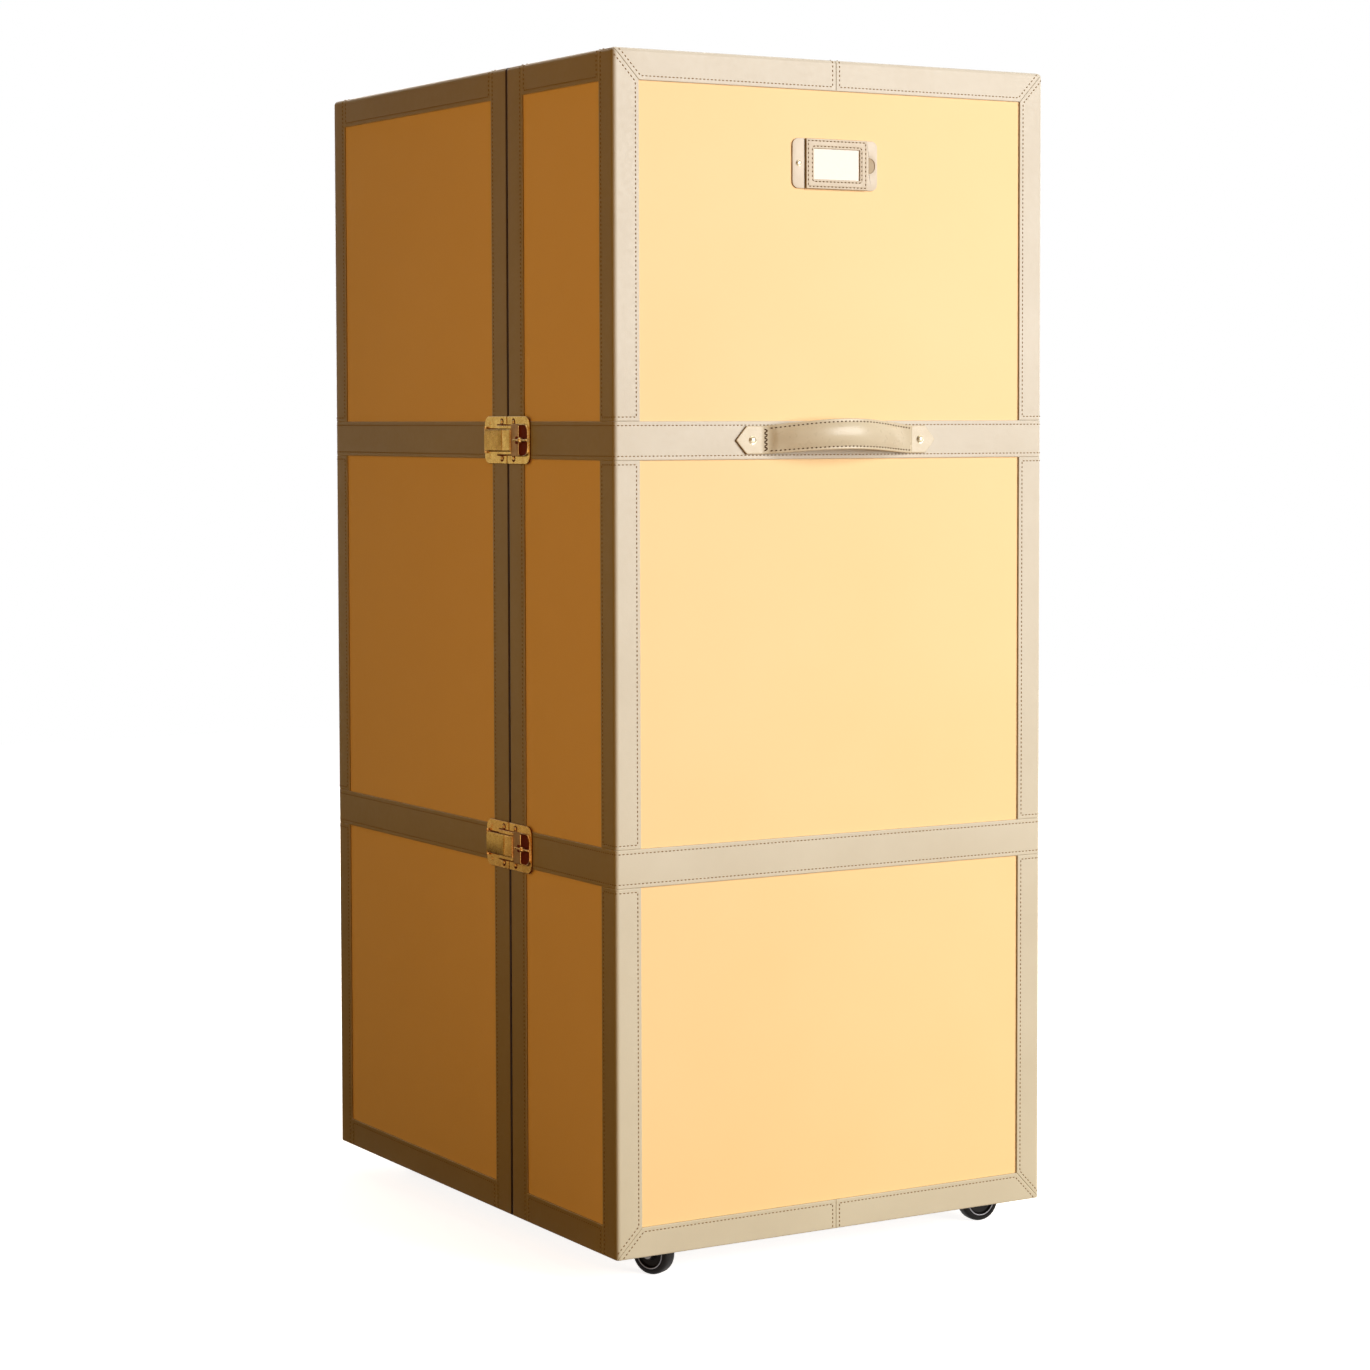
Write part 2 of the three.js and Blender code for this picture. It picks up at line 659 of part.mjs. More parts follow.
// The label holder: a backing, a frame with a pocket that is open on the right, and a bare card.
function makeLabel() {
  const middle = BODY_TOP - LABEL_BELOW_TOP;
  const heights = (height) => [middle - height / 2, middle + height / 2];
  const face = front.face + TRIM;
  const left = -LABEL_LENGTH / 2;
  const backingFace = face - LABEL_SHEET;
  const backing = prism(
    rectangle([left, left + LABEL_LENGTH], heights(LABEL_HEIGHT), LABEL_CORNER), "y",
    [face, backingFace],
  );
  piece("label_backing", "leather", backing);

  const frameLeft = left + LABEL_FRAME_START;
  const frameRight = frameLeft + LABEL_FRAME_LENGTH;
  const frameBack = backingFace - GLUE;
  const frameFace = frameBack - LABEL_FRAME_THICKNESS;
  const windowLeft = frameLeft + LABEL_WINDOW_START;
  const cardLeft = windowLeft - (CARD_LENGTH - LABEL_WINDOW_LENGTH) / 2;
  const pocketDepth = CARD_THICKNESS + FIT * 2;
  const frame = block([frameLeft, frameRight], [frameBack, frameFace], heights(LABEL_HEIGHT))
    .subtract(
      block(
        [windowLeft, windowLeft + LABEL_WINDOW_LENGTH],
        [frameBack + OVERRUN, frameFace - OVERRUN],
        heights(LABEL_WINDOW_HEIGHT),
      ),
    )
    .subtract(
      block(
        [cardLeft - FIT, frameRight + OVERRUN],
        [frameBack + OVERRUN, frameBack - pocketDepth],
        heights(CARD_HEIGHT + FIT * 2),
      ),
    );
  piece("label_frame", "leather", frame);
  const cardFaces = [frameBack - FIT, frameBack - FIT - CARD_THICKNESS];
  const card = block([cardLeft, cardLeft + CARD_LENGTH], cardFaces, heights(CARD_HEIGHT));
  piece("label_card", "card", card);
  const studCentre = [left + LABEL_STUD_PLACE, backingFace - FIT, middle];
  piece("label_stud", "brass", stud(LABEL_STUD_RADIUS, STUD_RISE, studCentre));
}

// A case of drawers stands in the foot of the front half and opens towards the rear half.
function makeDrawers() {
  const half = INNER_HALF - FIT;
  const back = front.face + LINED + FIT;
  const mouth = front.rim - CASE_SET_BACK;
  const low = INNER_FLOOR + FIT;
  const pitch = (CASE_HEIGHT - CASE_BOARD) / DRAWER_COUNT;
  const bayHalf = half - CASE_BOARD;
  let caseBody = block([-half, half], [back, mouth], [low, low + CASE_HEIGHT]);
  for (let k = 0; k < DRAWER_COUNT; k += 1) {
    const number = k + 1;
    const floor = low + CASE_BOARD + k * pitch;
    const ceiling = floor + pitch - CASE_BOARD;
    const bay = [[-bayHalf, bayHalf], [back + CASE_BOARD, mouth + OVERRUN], [floor, ceiling]];
    caseBody = caseBody.subtract(block(...bay));

    const width = bayHalf - DRAWER_SIDE_GAP;
    const ends = [back + CASE_BOARD + FIT, mouth];
    const heights = [floor + FIT, ceiling - DRAWER_TOP_GAP];
    const well = block(
      [-width + DRAWER_SIDE, width - DRAWER_SIDE],
      [ends[0] + DRAWER_SIDE, ends[1] - DRAWER_FRONT],
      [heights[0] + DRAWER_FLOOR, heights[1] + OVERRUN],
    );
    piece("drawer_" + number, "beech", block([-width, width], ends, heights).subtract(well));

    const middle = (heights[0] + heights[1]) / 2;
    const pullHalf = PULL_LENGTH / 2;
    const pullBack = mouth + FIT;
    const outline = [
      [-pullHalf, pullBack],
      [-pullHalf, pullBack + PULL_REACH, PULL_CORNER],
      [pullHalf, pullBack + PULL_REACH, PULL_CORNER],
      [pullHalf, pullBack],
      [pullHalf - PULL_SIZE, pullBack],
      [pullHalf - PULL_SIZE, pullBack + PULL_REACH - PULL_SIZE],
      [-pullHalf + PULL_SIZE, pullBack + PULL_REACH - PULL_SIZE],
      [-pullHalf + PULL_SIZE, pullBack],
    ];
    const pull = prism(outline, "z", [middle - PULL_SIZE / 2, middle + PULL_SIZE / 2]);
    piece("drawer_" + number + "_pull", "brass", pull);
  }
  piece("drawer_case", "beech", caseBody);
}

// A channel under the top of the rear half carries a slider. A round rod hangs below the slider
// between two posts, and the hangers hook over it.
function makeGarmentRod() {
  const top = INNER_TOP - FIT;
  const ends = [rear.rim + LIP_ROOT + RUNNER_SET_BACK, rear.face - LINED - RUNNER_END_GAP];
  const past = [ends[0] - OVERRUN, ends[1] + OVERRUN];
  const half = RUNNER_WIDTH / 2;
  const runner = block([-half, half], ends, [top - RUNNER_HEIGHT, top])
    .subtract(
      block(
        [-half + RUNNER_SHEET, half - RUNNER_SHEET],
        past,
        [top - RUNNER_HEIGHT + RUNNER_SHEET, top - RUNNER_SHEET],
      ),
    )
    .subtract(
      block(
        [-RUNNER_SLOT / 2, RUNNER_SLOT / 2],
        past,
        [top - RUNNER_HEIGHT - OVERRUN, top - RUNNER_HEIGHT + RUNNER_SHEET + OVERRUN],
      ),
    );
  piece("garment_runner", "steel", runner);

  const sliderHalf = half - RUNNER_SHEET - SLIDER_GAP;
  const sliderTop = top - RUNNER_SHEET - SLIDER_GAP;
  const sliderFoot = top - RUNNER_HEIGHT + RUNNER_SHEET + FIT;
  const rodHeight = top - RUNNER_HEIGHT - ROD_DROP;
  const postHalf = RUNNER_SLOT / 2 - SLIDER_GAP;
  let slider = block([-sliderHalf, sliderHalf], ends, [sliderFoot, sliderTop]);
  for (const start of [ends[0], ends[1] - ROD_POST]) {
    slider = slider.add(
      block([-postHalf, postHalf], [start, start + ROD_POST], [rodHeight - ROD_RADIUS, sliderTop]),
    );
  }
  slider = slider.add(rod(ROD_RADIUS, "y", ends, [0, rodHeight]));
  piece("garment_rod", "steel", slider);

  const middle = (ends[0] + ends[1]) / 2;
  for (let k = 0; k < HANGER_COUNT; k += 1) {
    makeHanger(k + 1, middle + (k - (HANGER_COUNT - 1) / 2) * HANGER_PITCH, rodHeight);
  }
}

// How far the top of a hanger's wood falls, at a share of its half width out from the neck.
function hangerFall(share) {
  const beyond = Math.max(0, Math.abs(share) - HANGER_NECK_SHARE) / (1 - HANGER_NECK_SHARE);
  return HANGER_SLOPE * Math.pow(beyond, 1.5);
}

// A wooden hanger whose wire hook rests on the rod.
function makeHanger(number, y, rodHeight) {
  const bendMiddle = rodHeight + ROD_RADIUS + FIT + HOOK_WIRE_RADIUS - HOOK_BEND;
  const woodTop = bendMiddle - HANGER_NECK;
  const start = -Math.PI / 9;
  const sweep = Math.PI - 2 * start;
  const bend = Array.from({ length: HOOK_STEPS / 2 + 1 }, (_, i) => {
    const angle = start + (sweep * i * 2) / HOOK_STEPS;
    return new THREE.Vector3(
      HOOK_BEND * Math.cos(angle), y, bendMiddle + HOOK_BEND * Math.sin(angle),
    );
  });
  const shank = [HOOK_BEND * 2, HOOK_BEND * 3].map((drop) => new THREE.Vector3(0, y, bendMiddle - drop));
  const foot = new THREE.Vector3(0, y, woodTop + FIT);
  const path = new THREE.CatmullRomCurve3([...bend, ...shank, foot]);
  const section = new THREE.Shape(
    Array.from({ length: HOOK_SIDES }, (_, i) => {
      const angle = (2 * Math.PI * i) / HOOK_SIDES;
      return new THREE.Vector2(
        HOOK_WIRE_RADIUS * Math.cos(angle), HOOK_WIRE_RADIUS * Math.sin(angle),
      );
    }),
  );
  const wire = new THREE.ExtrudeGeometry(section, { steps: HOOK_STEPS, extrudePath: path });
  piece("hanger_" + number + "_hook", "steel", solidOf(wire));

  // The shoulders fall away from a flat neck on a smooth curve, and the underside follows them.
  const outline = [
    ...HANGER_SHARES.map((s) => [s * HANGER_HALF_WIDTH, woodTop - hangerFall(s)]),
    ...HANGER_SHARES.toReversed().map((s) => [
      s * HANGER_HALF_WIDTH,
      woodTop - hangerFall(s) - HANGER_DEPTH * (1 - (s * s) / 3),
    ]),
  ];
  const wood = prism(outline, "y", [y - HANGER_THICKNESS / 2, y + HANGER_THICKNESS / 2]);
  piece("hanger_" + number + "_wood", "beech", wood);
}

// A castor: plate and race fixed under the base board, a fork that swivels, and a wheel that rolls.
// The group stands on the swivel axis. Inside it the swivel is turned by the heading, and the wheel
// trails along the swivel's +X.
function makeCastor(name, x, y, heading) {
  const group = new THREE.Group();
  group.position.set(x, y, 0);
  trunk.add(group);
  const swivel = new THREE.Group();
  swivel.rotation.z = heading;
  group.add(swivel);
  const plateTop = CASTOR_HEIGHT - FIT;
  const plateFoot = plateTop - CASTOR_PLATE_THICKNESS;
  const raceFoot = plateFoot - RACE_HEIGHT;
  const plateHalf = CASTOR_PLATE / 2;
  const square = [-plateHalf, plateHalf];
  const centre = [0, 0];
  const mount = block(square, square, [plateFoot, plateTop])
    .add(rod(RACE_RADIUS, "z", [raceFoot, plateTop], centre))
    .subtract(rod(KINGPIN_RADIUS + FIT, "z", [raceFoot - OVERRUN, plateFoot], centre));
  piece(name + "_mount", "black_steel", mount, group);

  const crown = raceFoot - FIT;
  const crownFoot = crown - FORK_SHEET;
  const innerWidth = WHEEL_WIDTH / 2 + FIT * 3;
  const outerWidth = innerWidth + FORK_SHEET;
  const axle = [CASTOR_TRAIL, AXLE_HEIGHT];
  let fork = rod(RACE_RADIUS, "z", [crownFoot, crown], centre).add(
    rod(KINGPIN_RADIUS, "z", [crown, plateFoot - FIT], centre),
  );
  for (const way of [-1, 1]) {
    const leg = [
      [-FORK_HALF_LENGTH, crown],
      [FORK_HALF_LENGTH * 2, crown],
      [CASTOR_TRAIL + FORK_HALF_LENGTH, AXLE_HEIGHT - AXLE_RADIUS * 2, AXLE_RADIUS],
      [CASTOR_TRAIL - FORK_HALF_LENGTH, AXLE_HEIGHT - AXLE_RADIUS * 2, AXLE_RADIUS],
    ];
    fork = fork.add(prism(leg, "y", [way * innerWidth, way * outerWidth]));
  }
  fork = fork.add(rod(AXLE_RADIUS, "y", [-outerWidth, outerWidth], axle));
  piece(name + "_fork", "black_steel", fork, swivel);

  const edge = WHEEL_WIDTH / 2;
  const bore = AXLE_RADIUS + FIT;
  const profile = [
    [bore, -edge],
    [WHEEL_RADIUS - WHEEL_CHAMFER, -edge],
    [WHEEL_RADIUS, -edge + WHEEL_CHAMFER],
    [WHEEL_RADIUS, edge - WHEEL_CHAMFER],
    [WHEEL_RADIUS - WHEEL_CHAMFER, edge],
    [bore, edge],
    [bore, -edge],
  ];
  const points = profile.map(([radius, along]) => new THREE.Vector2(radius, along));
  const tyre = new THREE.LatheGeometry(points, WHEEL_SIDES, Math.PI / WHEEL_SIDES);
  tyre.translate(axle[0], 0, axle[1]);
  piece(name + "_wheel", "rubber", solidOf(tyre), swivel);
}

for (const half of [rear, front]) {
  makeCarcass(half);
  makeCovering(half);
  makeEdgeTrim(half);
  makeBand(half, "upper", UPPER_BAND_HEIGHT);
  makeBand(half, "lower", LOWER_BAND_HEIGHT);
  makeLining(half);
}
makeRimLip();
makeHinge();
makeLatch("upper", UPPER_BAND_HEIGHT);
makeLatch("lower", LOWER_BAND_HEIGHT);
makeHandle();
makeLabel();
makeDrawers();
makeGarmentRod();

// The way that each castor trails at rest, as an angle from +X
const headings = {
  front_left: -Math.PI / 2.7,
  front_right: -Math.PI / 60,
  rear_left: -Math.PI / 3,
  rear_right: -Math.PI / 4,
};
for (const [name, heading] of Object.entries(headings)) {
  const x = (name.endsWith("left") ? -1 : 1) * (BODY_WIDTH / 2 - CASTOR_SIDE_INSET);
  const y = (name.startsWith("front") ? -1 : 1) * (BODY_DEPTH / 2 - CASTOR_END_INSET);
  makeCastor("castor_" + name, x, y, heading);
}

export default trunk;
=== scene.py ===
# %% [markdown]
# # A wardrobe trunk in canvas and leather
#
# The trunk stands on end on four castors. Two plywood halves are covered with pale yellow
# canvas, and every edge is bound with cream leather strips, stitched along their cut edges. The
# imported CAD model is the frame: it gives each piece its place and carries what moves. This file
# adds the looks.

# %% Load the frame
import json
import math

import bmesh
import bpy
import numpy as np
from mathutils import Matrix


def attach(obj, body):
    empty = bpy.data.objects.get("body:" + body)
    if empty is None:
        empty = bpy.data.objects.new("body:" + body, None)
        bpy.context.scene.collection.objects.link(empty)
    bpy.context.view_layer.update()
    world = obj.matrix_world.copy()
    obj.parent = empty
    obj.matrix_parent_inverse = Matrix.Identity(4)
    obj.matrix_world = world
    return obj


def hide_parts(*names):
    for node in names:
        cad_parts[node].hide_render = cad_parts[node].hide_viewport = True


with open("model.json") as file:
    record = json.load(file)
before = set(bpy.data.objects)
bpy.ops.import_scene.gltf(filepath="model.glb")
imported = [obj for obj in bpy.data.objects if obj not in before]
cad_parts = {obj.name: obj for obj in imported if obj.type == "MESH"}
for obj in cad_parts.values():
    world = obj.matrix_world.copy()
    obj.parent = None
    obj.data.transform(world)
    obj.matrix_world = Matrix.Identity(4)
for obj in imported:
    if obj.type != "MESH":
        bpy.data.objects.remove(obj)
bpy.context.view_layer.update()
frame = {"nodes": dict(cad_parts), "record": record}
nodes = frame["nodes"]

# %% [markdown]
# ## The camera
#
# The photograph was taken from the front left, four metres from the trunk and a metre above the
# floor, with a long lens that looks down by 3 degrees. So the upright edges stay almost parallel.
# The place and the turn were found by fitting the eight corners of the body, and the small shift
# keeps the trunk in the middle of the picture.

# %% Camera
CAMERA_PLACE = (-2.0884, -3.5269, 0.9737)
CAMERA_TURN, CAMERA_DIP, CAMERA_ROLL = (math.radians(a) for a in (-30.711, 3, -0.133))
CAMERA_LENS, CAMERA_SENSOR, CAMERA_SHIFT = 86.741, 36, -0.0676

camera_data = bpy.data.cameras.new("studio_camera")
camera_data.lens, camera_data.sensor_width = CAMERA_LENS, CAMERA_SENSOR
camera_data.shift_y = CAMERA_SHIFT
camera = bpy.data.objects.new("studio_camera", camera_data)
camera.matrix_world = (
    Matrix.Translation(CAMERA_PLACE)
    @ Matrix.Rotation(CAMERA_TURN, 4, "Z")
    @ Matrix.Rotation(math.pi / 2 - CAMERA_DIP, 4, "X")
    @ Matrix.Rotation(CAMERA_ROLL, 4, "Z")
)
bpy.context.scene.collection.objects.link(camera)
bpy.context.scene.camera = camera
bpy.context.scene.view_settings.view_transform = "Standard"
print("camera at", CAMERA_PLACE)

# %% [markdown]
# ## Colour and nodes
#
# Colours are written as they look on a screen, in sRGB hex, and the shader wants linear light, so
# one function converts them. A second small function adds a node, sets it and links it. The short
# functions below it name the few steps that every material here is made of.

# %% Colour and node helpers
def linear(code):
    """An sRGB hex code as linear red, green, blue and alpha: v/12.92 below 0.04045, and
    ((v + 0.055) / 1.055) to the power 2.4 above."""
    values = [int(code[i : i + 2], 16) / 255 for i in (1, 3, 5)]
    light = [v / 12.92 if v <= 0.04045 else ((v + 0.055) / 1.055) ** 2.4 for v in values]
    return (*light, 1.0)


def add(tree, kind, inputs=(), **settings):
    """Adds a node. settings are its own properties, and inputs are pairs of an input's name or
    number and either a value or the output socket to link there."""
    made = tree.nodes.new("ShaderNode" + kind)
    for name, value in settings.items():
        setattr(made, name, value)
    for name, value in dict(inputs).items():
        if isinstance(value, bpy.types.NodeSocket):
            tree.links.new(value, made.inputs[name])
        else:
            made.inputs[name].default_value = value
    return made


def blank_material(name):
    """A material with an empty node tree, and the output for places on the object."""
    material = bpy.data.materials.new(name)
    material.use_nodes = True
    tree = material.node_tree
    tree.nodes.clear()
    return material, tree, add(tree, "TexCoord").outputs["Object"]


def worked(tree, operation, *values):
    """The result of one sum, product or other operation on the values."""
    return add(tree, "Math", dict(enumerate(values)), operation=operation).outputs[0]


def noise(tree, position, scale, detail=2.0, **others):
    """Smooth noise between 0 and 1, with scale waves to the metre."""
    inputs = {"Vector": position, "Scale": scale, "Detail": detail, **others}
    return add(tree, "TexNoise", inputs).outputs["Fac"]


def mapped(tree, value, start, end, low=0.0, high=1.0):
    """Carries the range from start to end to the range from low to high and holds it there."""
    return add(tree, "MapRange", {"Value": value, "From Min": start, "From Max": end,
                                  "To Min": low, "To Max": high}).outputs[0]


def two_tones(tree, amount, dark, light, start=0.0, end=1.0):
    """The colour that goes from dark to light as amount goes from start to end."""
    ramp = add(tree, "ValToRGB", {0: amount})
    for stop, place, code in zip(ramp.color_ramp.elements, (start, end), (dark, light)):
        stop.position, stop.color = place, linear(code)
    return ramp.outputs["Color"]


def tinted(tree, share, tone, code):
    """The tone, multiplied by the colour of the code to this share."""
    return add(tree, "Mix", {0: share, 6: tone, 7: linear(code)}, data_type="RGBA",
               blend_type="MULTIPLY").outputs[2]


def surface(tree, colour, roughness, bump=None, specular=0.5, **others):
    """Ends a material. bump is the strength, the depth in metres and the height that raises it."""
    inputs = {"Base Color": colour, "Roughness": roughness, "Specular IOR Level": specular,
              **others}
    if bump:
        values = dict(zip(("Strength", "Distance", "Height"), bump))
        inputs["Normal"] = add(tree, "Bump", values).outputs[0]
    shader = add(tree, "BsdfPrincipled", inputs)
    add(tree, "OutputMaterial", {"Surface": shader.outputs[0]})


# %% [markdown]
# ## Studio: floor, world and lamps
#
# The floor is a pale sheet. The camera sees it almost white, with a soft shadow under the castors,
# and further out it grows as white as the backdrop, so that no horizon shows. The light that it
# throws back on the trunk is weaker and warmer, so that it doesn't flatten the dark left side. The
# world is white to the camera, to glossy and to see-through surfaces, and almost black as a lamp.

# %% World
WHITE = (1, 1, 1, 1)


def seen_directly(tree):
    """1 for rays of the camera and those mirrored or let through on their way, 0 for the rest."""
    rays = add(tree, "LightPath").outputs
    seen = worked(tree, "MAXIMUM", rays["Is Camera Ray"], rays["Is Glossy Ray"])
    return worked(tree, "MAXIMUM", seen, rays["Is Transmission Ray"])


world = bpy.data.worlds.new("studio")
bpy.context.scene.world = world
world.use_nodes = True
tree = world.node_tree
tree.nodes.clear()
ambient = add(tree, "Background", {"Color": linear("#fff2e0"), "Strength": 0.03})
backdrop = add(tree, "Background", {"Color": WHITE, "Strength": 1.0})
both = add(tree, "MixShader", {0: seen_directly(tree), 1: ambient.outputs[0],
                               2: backdrop.outputs[0]})
add(tree, "OutputWorld", {"Surface": both.outputs[0]})
print("world made")

# %% Floor
FLOOR_HALF = 6.0
WHITE_FROM, WHITE_BY = 0.7, 2.2


def stage_piece(name, points, faces, material):
    """A mesh that belongs to the studio and not to the trunk."""
    mesh = bpy.data.meshes.new(name)
    mesh.from_pydata(points, [], faces)
    mesh.materials.append(material)
    made = bpy.data.objects.new(name, mesh)
    bpy.context.scene.collection.objects.link(made)
    return made


material, tree, position = blank_material("pale_paper_floor")
sheet = add(tree, "BsdfDiffuse", {"Color": linear("#e9e4dc")})
distance = add(tree, "VectorMath", {0: position}, operation="LENGTH").outputs["Value"]
whiter = mapped(tree, distance, WHITE_FROM, WHITE_BY, 0.87, 1.0)
glow = add(tree, "Emission", {"Color": WHITE, "Strength": whiter})
front_of_camera = add(tree, "AddShader", {0: sheet.outputs[0], 1: glow.outputs[0]})
bounce = add(tree, "BsdfDiffuse", {"Color": linear("#7d6040")})
both = add(tree, "MixShader", {0: seen_directly(tree), 1: bounce.outputs[0],
                               2: front_of_camera.outputs[0]})
add(tree, "OutputMaterial", {"Surface": both.outputs[0]})
corners = [(x * FLOOR_HALF, y * FLOOR_HALF, 0) for x, y in ((-1, -1), (1, -1), (1, 1), (-1, 1))]
stage_piece("floor", corners, [(0, 1, 2, 3)], material)
print("floor", 2 * FLOOR_HALF, "m wide")

# %% Lamps
# Each lamp is a large soft panel: name, place, aim, width, height, watts, colour.
LAMPS = [
    ("key_front_right", (2.65, -5.15, 2.15), (0.0, -0.1, 0.75), 3.5, 3.5, 430, "#fffcf7"),
    ("fill_right", (4.2, 0.6, 1.6), (0.0, 0.1, 0.7), 2.4, 2.4, 45, "#fffaf2"),
    ("fill_back", (1.2, 4.2, 1.7), (0.0, 0.3, 0.7), 2.6, 2.6, 110, "#fffaf2"),
    ("overhead", (0.3, 0.2, 3.9), (0.0, 0.0, 1.4), 1.6, 1.6, 42, "#fffaf2"),
    ("dim_warm_left", (-1.9, -0.85, 1.5), (0.0, -0.85, 1.5), 3.0, 3.2, 24.3, "#e2a43a"),
    ("pale_left", (-1.9, 2.55, 0.62), (-0.3, -0.1, 0.7), 1.1, 1.3, 3.6, "#fff0b4"),
]


def unit(vectors):
    """The vectors divided by their lengths."""
    return vectors / np.linalg.norm(vectors, axis=-1, keepdims=True)


def aim(place, target):
    """The matrix that puts a lamp at place with its -Z axis along the line to target."""
    back = unit(np.subtract(place, target))
    right = unit(np.cross([0, 0, 1], back))
    columns = np.column_stack([right, np.cross(back, right), back, place])
    return Matrix([*columns.tolist(), [0, 0, 0, 1]])


for name, place, target, width, height, watts, colour in LAMPS:
    lamp = bpy.data.lights.new(name, "AREA")
    lamp.shape = "RECTANGLE"
    lamp.size, lamp.size_y = width, height
    lamp.energy, lamp.color = watts, linear(colour)[:3]
    stand = bpy.data.objects.new(name, lamp)
    stand.matrix_world = aim(place, target)
    stand.visible_camera = False
    bpy.context.scene.collection.objects.link(stand)
print("lamps:", [row[0] for row in LAMPS])

# %% Brown studio card
# Photographers stand a dark card beside shiny things. This one rises on the left and bends over
# the floor there, so that leather and brass mirror a dim brown and not the white backdrop. Only
# mirrored rays see it, so it neither shades the floor nor lights the trunk.
CARD_BACK, CARD_EDGE = -2.1, -0.31
CARD_NEAR, CARD_BEND, CARD_FAR = -3.2, -0.5, 6.2
CARD_LIFT, CARD_TALL = 0.004, 4.0
material, tree, position = blank_material("brown_studio_card")
sheet = add(tree, "BsdfDiffuse", {"Color": linear("#5a4632")})
add(tree, "OutputMaterial", {"Surface": sheet.outputs[0]})
section = ((CARD_BACK, CARD_TALL), (CARD_BACK, CARD_LIFT), (CARD_EDGE, CARD_LIFT))
corners = [(x, y, z) for x, z in section for y in (CARD_NEAR, CARD_BEND, CARD_FAR)]
studio_card = stage_piece("brown_studio_card", corners,
                          [(0, 3, 4, 1), (1, 4, 5, 2), (4, 7, 8, 5)], material)
studio_card.visible_camera = studio_card.visible_diffuse = studio_card.visible_shadow = False
print("studio card behind x =", CARD_BACK)

# %% [markdown]
# ## Canvas
#
# The panels are cotton canvas with a thin matt coating, glued flat on the plywood. A plain weave
# has threads that go over and under each other, so its height is the product of two waves at
# right angles. The real threads are 0.5 mm apart, too fine to show from over three metres, so they
# are drawn 1.2 mm apart. The coating leaves slow, faint differences of tone. Towards the floor the
# colour is made a little deeper and yellower: painted shade, for the light that falls off towards
# the bottom.

# %% Canvas material
THREAD_SPACING = 0.0012
LOW_PART = (0.1, 1.0)


def weave_height(tree, position, spacing):
    """Height of a plain weave: on each face, sin(a) * sin(b) of the two directions in the face.
    The sum over the three pairs of axes works on every face, because the third sine is constant
    there."""
    waves = add(tree, "VectorMath", {0: position, 3: 2 * math.pi / spacing}, operation="SCALE")
    waves = add(tree, "VectorMath", {0: waves.outputs[0]}, operation="SINE")
    x, y, z = add(tree, "SeparateXYZ", {0: waves.outputs[0]}).outputs
    products = [worked(tree, "MULTIPLY", *pair) for pair in ((x, z), (y, z), (x, y))]
    return worked(tree, "ADD", worked(tree, "ADD", *products[:2]), products[2])


def darkened_towards_floor(tree, position, tone, low):
    """The tone multiplied by low near the floor, and less and less so up to a height of 1 m. On the
    canvas and the trim leather this is painted shade.
    """
    height = add(tree, "SeparateXYZ", {0: position}).outputs["Z"]
    return tinted(tree, mapped(tree, height, *LOW_PART, 1.0, 0.0), tone, low)


canvas, tree, position = blank_material("coated_cotton_canvas")
cloudy = noise(tree, position, 3.0, 3.0, Roughness=0.6)
tone = two_tones(tree, cloudy, "#f9d6a2", "#fbd9a7", 0.3, 0.7)
slubs = worked(tree, "MULTIPLY", noise(tree, position, 420.0), 0.6)
height = worked(tree, "ADD", weave_height(tree, position, THREAD_SPACING), slubs)
# Painted shade: the canvas is a little deeper and yellower towards the floor.
surface(tree, darkened_towards_floor(tree, position, tone, "#fffef0"), 0.78, (0.25, 0.0001, height), 0.2,
        **{"Sheen Weight": 0.04, "Sheen Roughness": 0.5})
print("made", canvas.name)

# %% [markdown]
# ## Leather
#
# The strips are smooth natural calf leather with a light satin finish. It has a fine pebble
# grain that only shows in the highlights and slow differences of tone. The strips on the side are
# much browner than those on the front, and that is painted shade: the colour depends on the way
# that the leather faces, and the share of x in the direction of its face, taken from the piece's
# own normal, brings in the browner tone on the left and the right alike. Towards the floor the
# tone is a little deeper, which is painted shade as well.

# %% Leather materials
def leather(name, light, dark, roughness, side_shade="#ffffff", low="#ffffff"):
    """Smooth calf: two close tones mixed by slow noise, multiplied by the colour for the sides
    where the leather faces left or right, which is painted shade, and by low near the floor, and a
    bump of fine cells and creases."""
    material, tree, position = blank_material(name)
    tone = two_tones(tree, noise(tree, position, 9.0, 4.0, Roughness=0.55), dark, light, 0.32, 0.68)
    pebbles = add(tree, "TexVoronoi", {"Vector": position, "Scale": 900.0}, feature="F1")
    creases = noise(tree, position, 160.0, 4.0)
    height = worked(tree, "ADD", pebbles.outputs["Distance"], creases)
    shine = mapped(tree, creases, 0.3, 0.7, roughness - 0.05, roughness + 0.06)
    faces = add(tree, "SeparateXYZ", {0: add(tree, "TexCoord").outputs["Normal"]})
    sideways = worked(tree, "ABSOLUTE", faces.outputs["X"])
    # Painted shade: where the leather faces left or right it takes the browner tone.
    tone = tinted(tree, mapped(tree, sideways, 0.5, 0.95), tone, side_shade)
    surface(tree, darkened_towards_floor(tree, position, tone, low), shine, (0.12, 0.0003, height), 0.4)
    return material


# Its last two colours are painted shade: browner on the sides and a little deeper towards the
# floor.
trim_leather = leather("natural_calf_leather", "#cac2b3", "#c4bbab", 0.47, "#cbc2ac", "#fffcec")
strap_leather = leather("bridle_strap_leather", "#c8bca2", "#beae92", 0.3)
print("made", trim_leather.name, strap_leather.name)

# %% Burnished edge
# Where leather is cut, its edge is rubbed smooth and stained, which leaves it browner than the
# face. Along the seam the edges, and the leather close to them, are dark brown: painted shade for
# the narrow gap between the halves.
burnished = leather("burnished_leather_edge", "#a48d69", "#8b7450", 0.45)
seam_shade = leather("painted_leather_edge", "#3f281a", "#2e1b10", 0.5)
print("made", burnished.name, seam_shade.name)
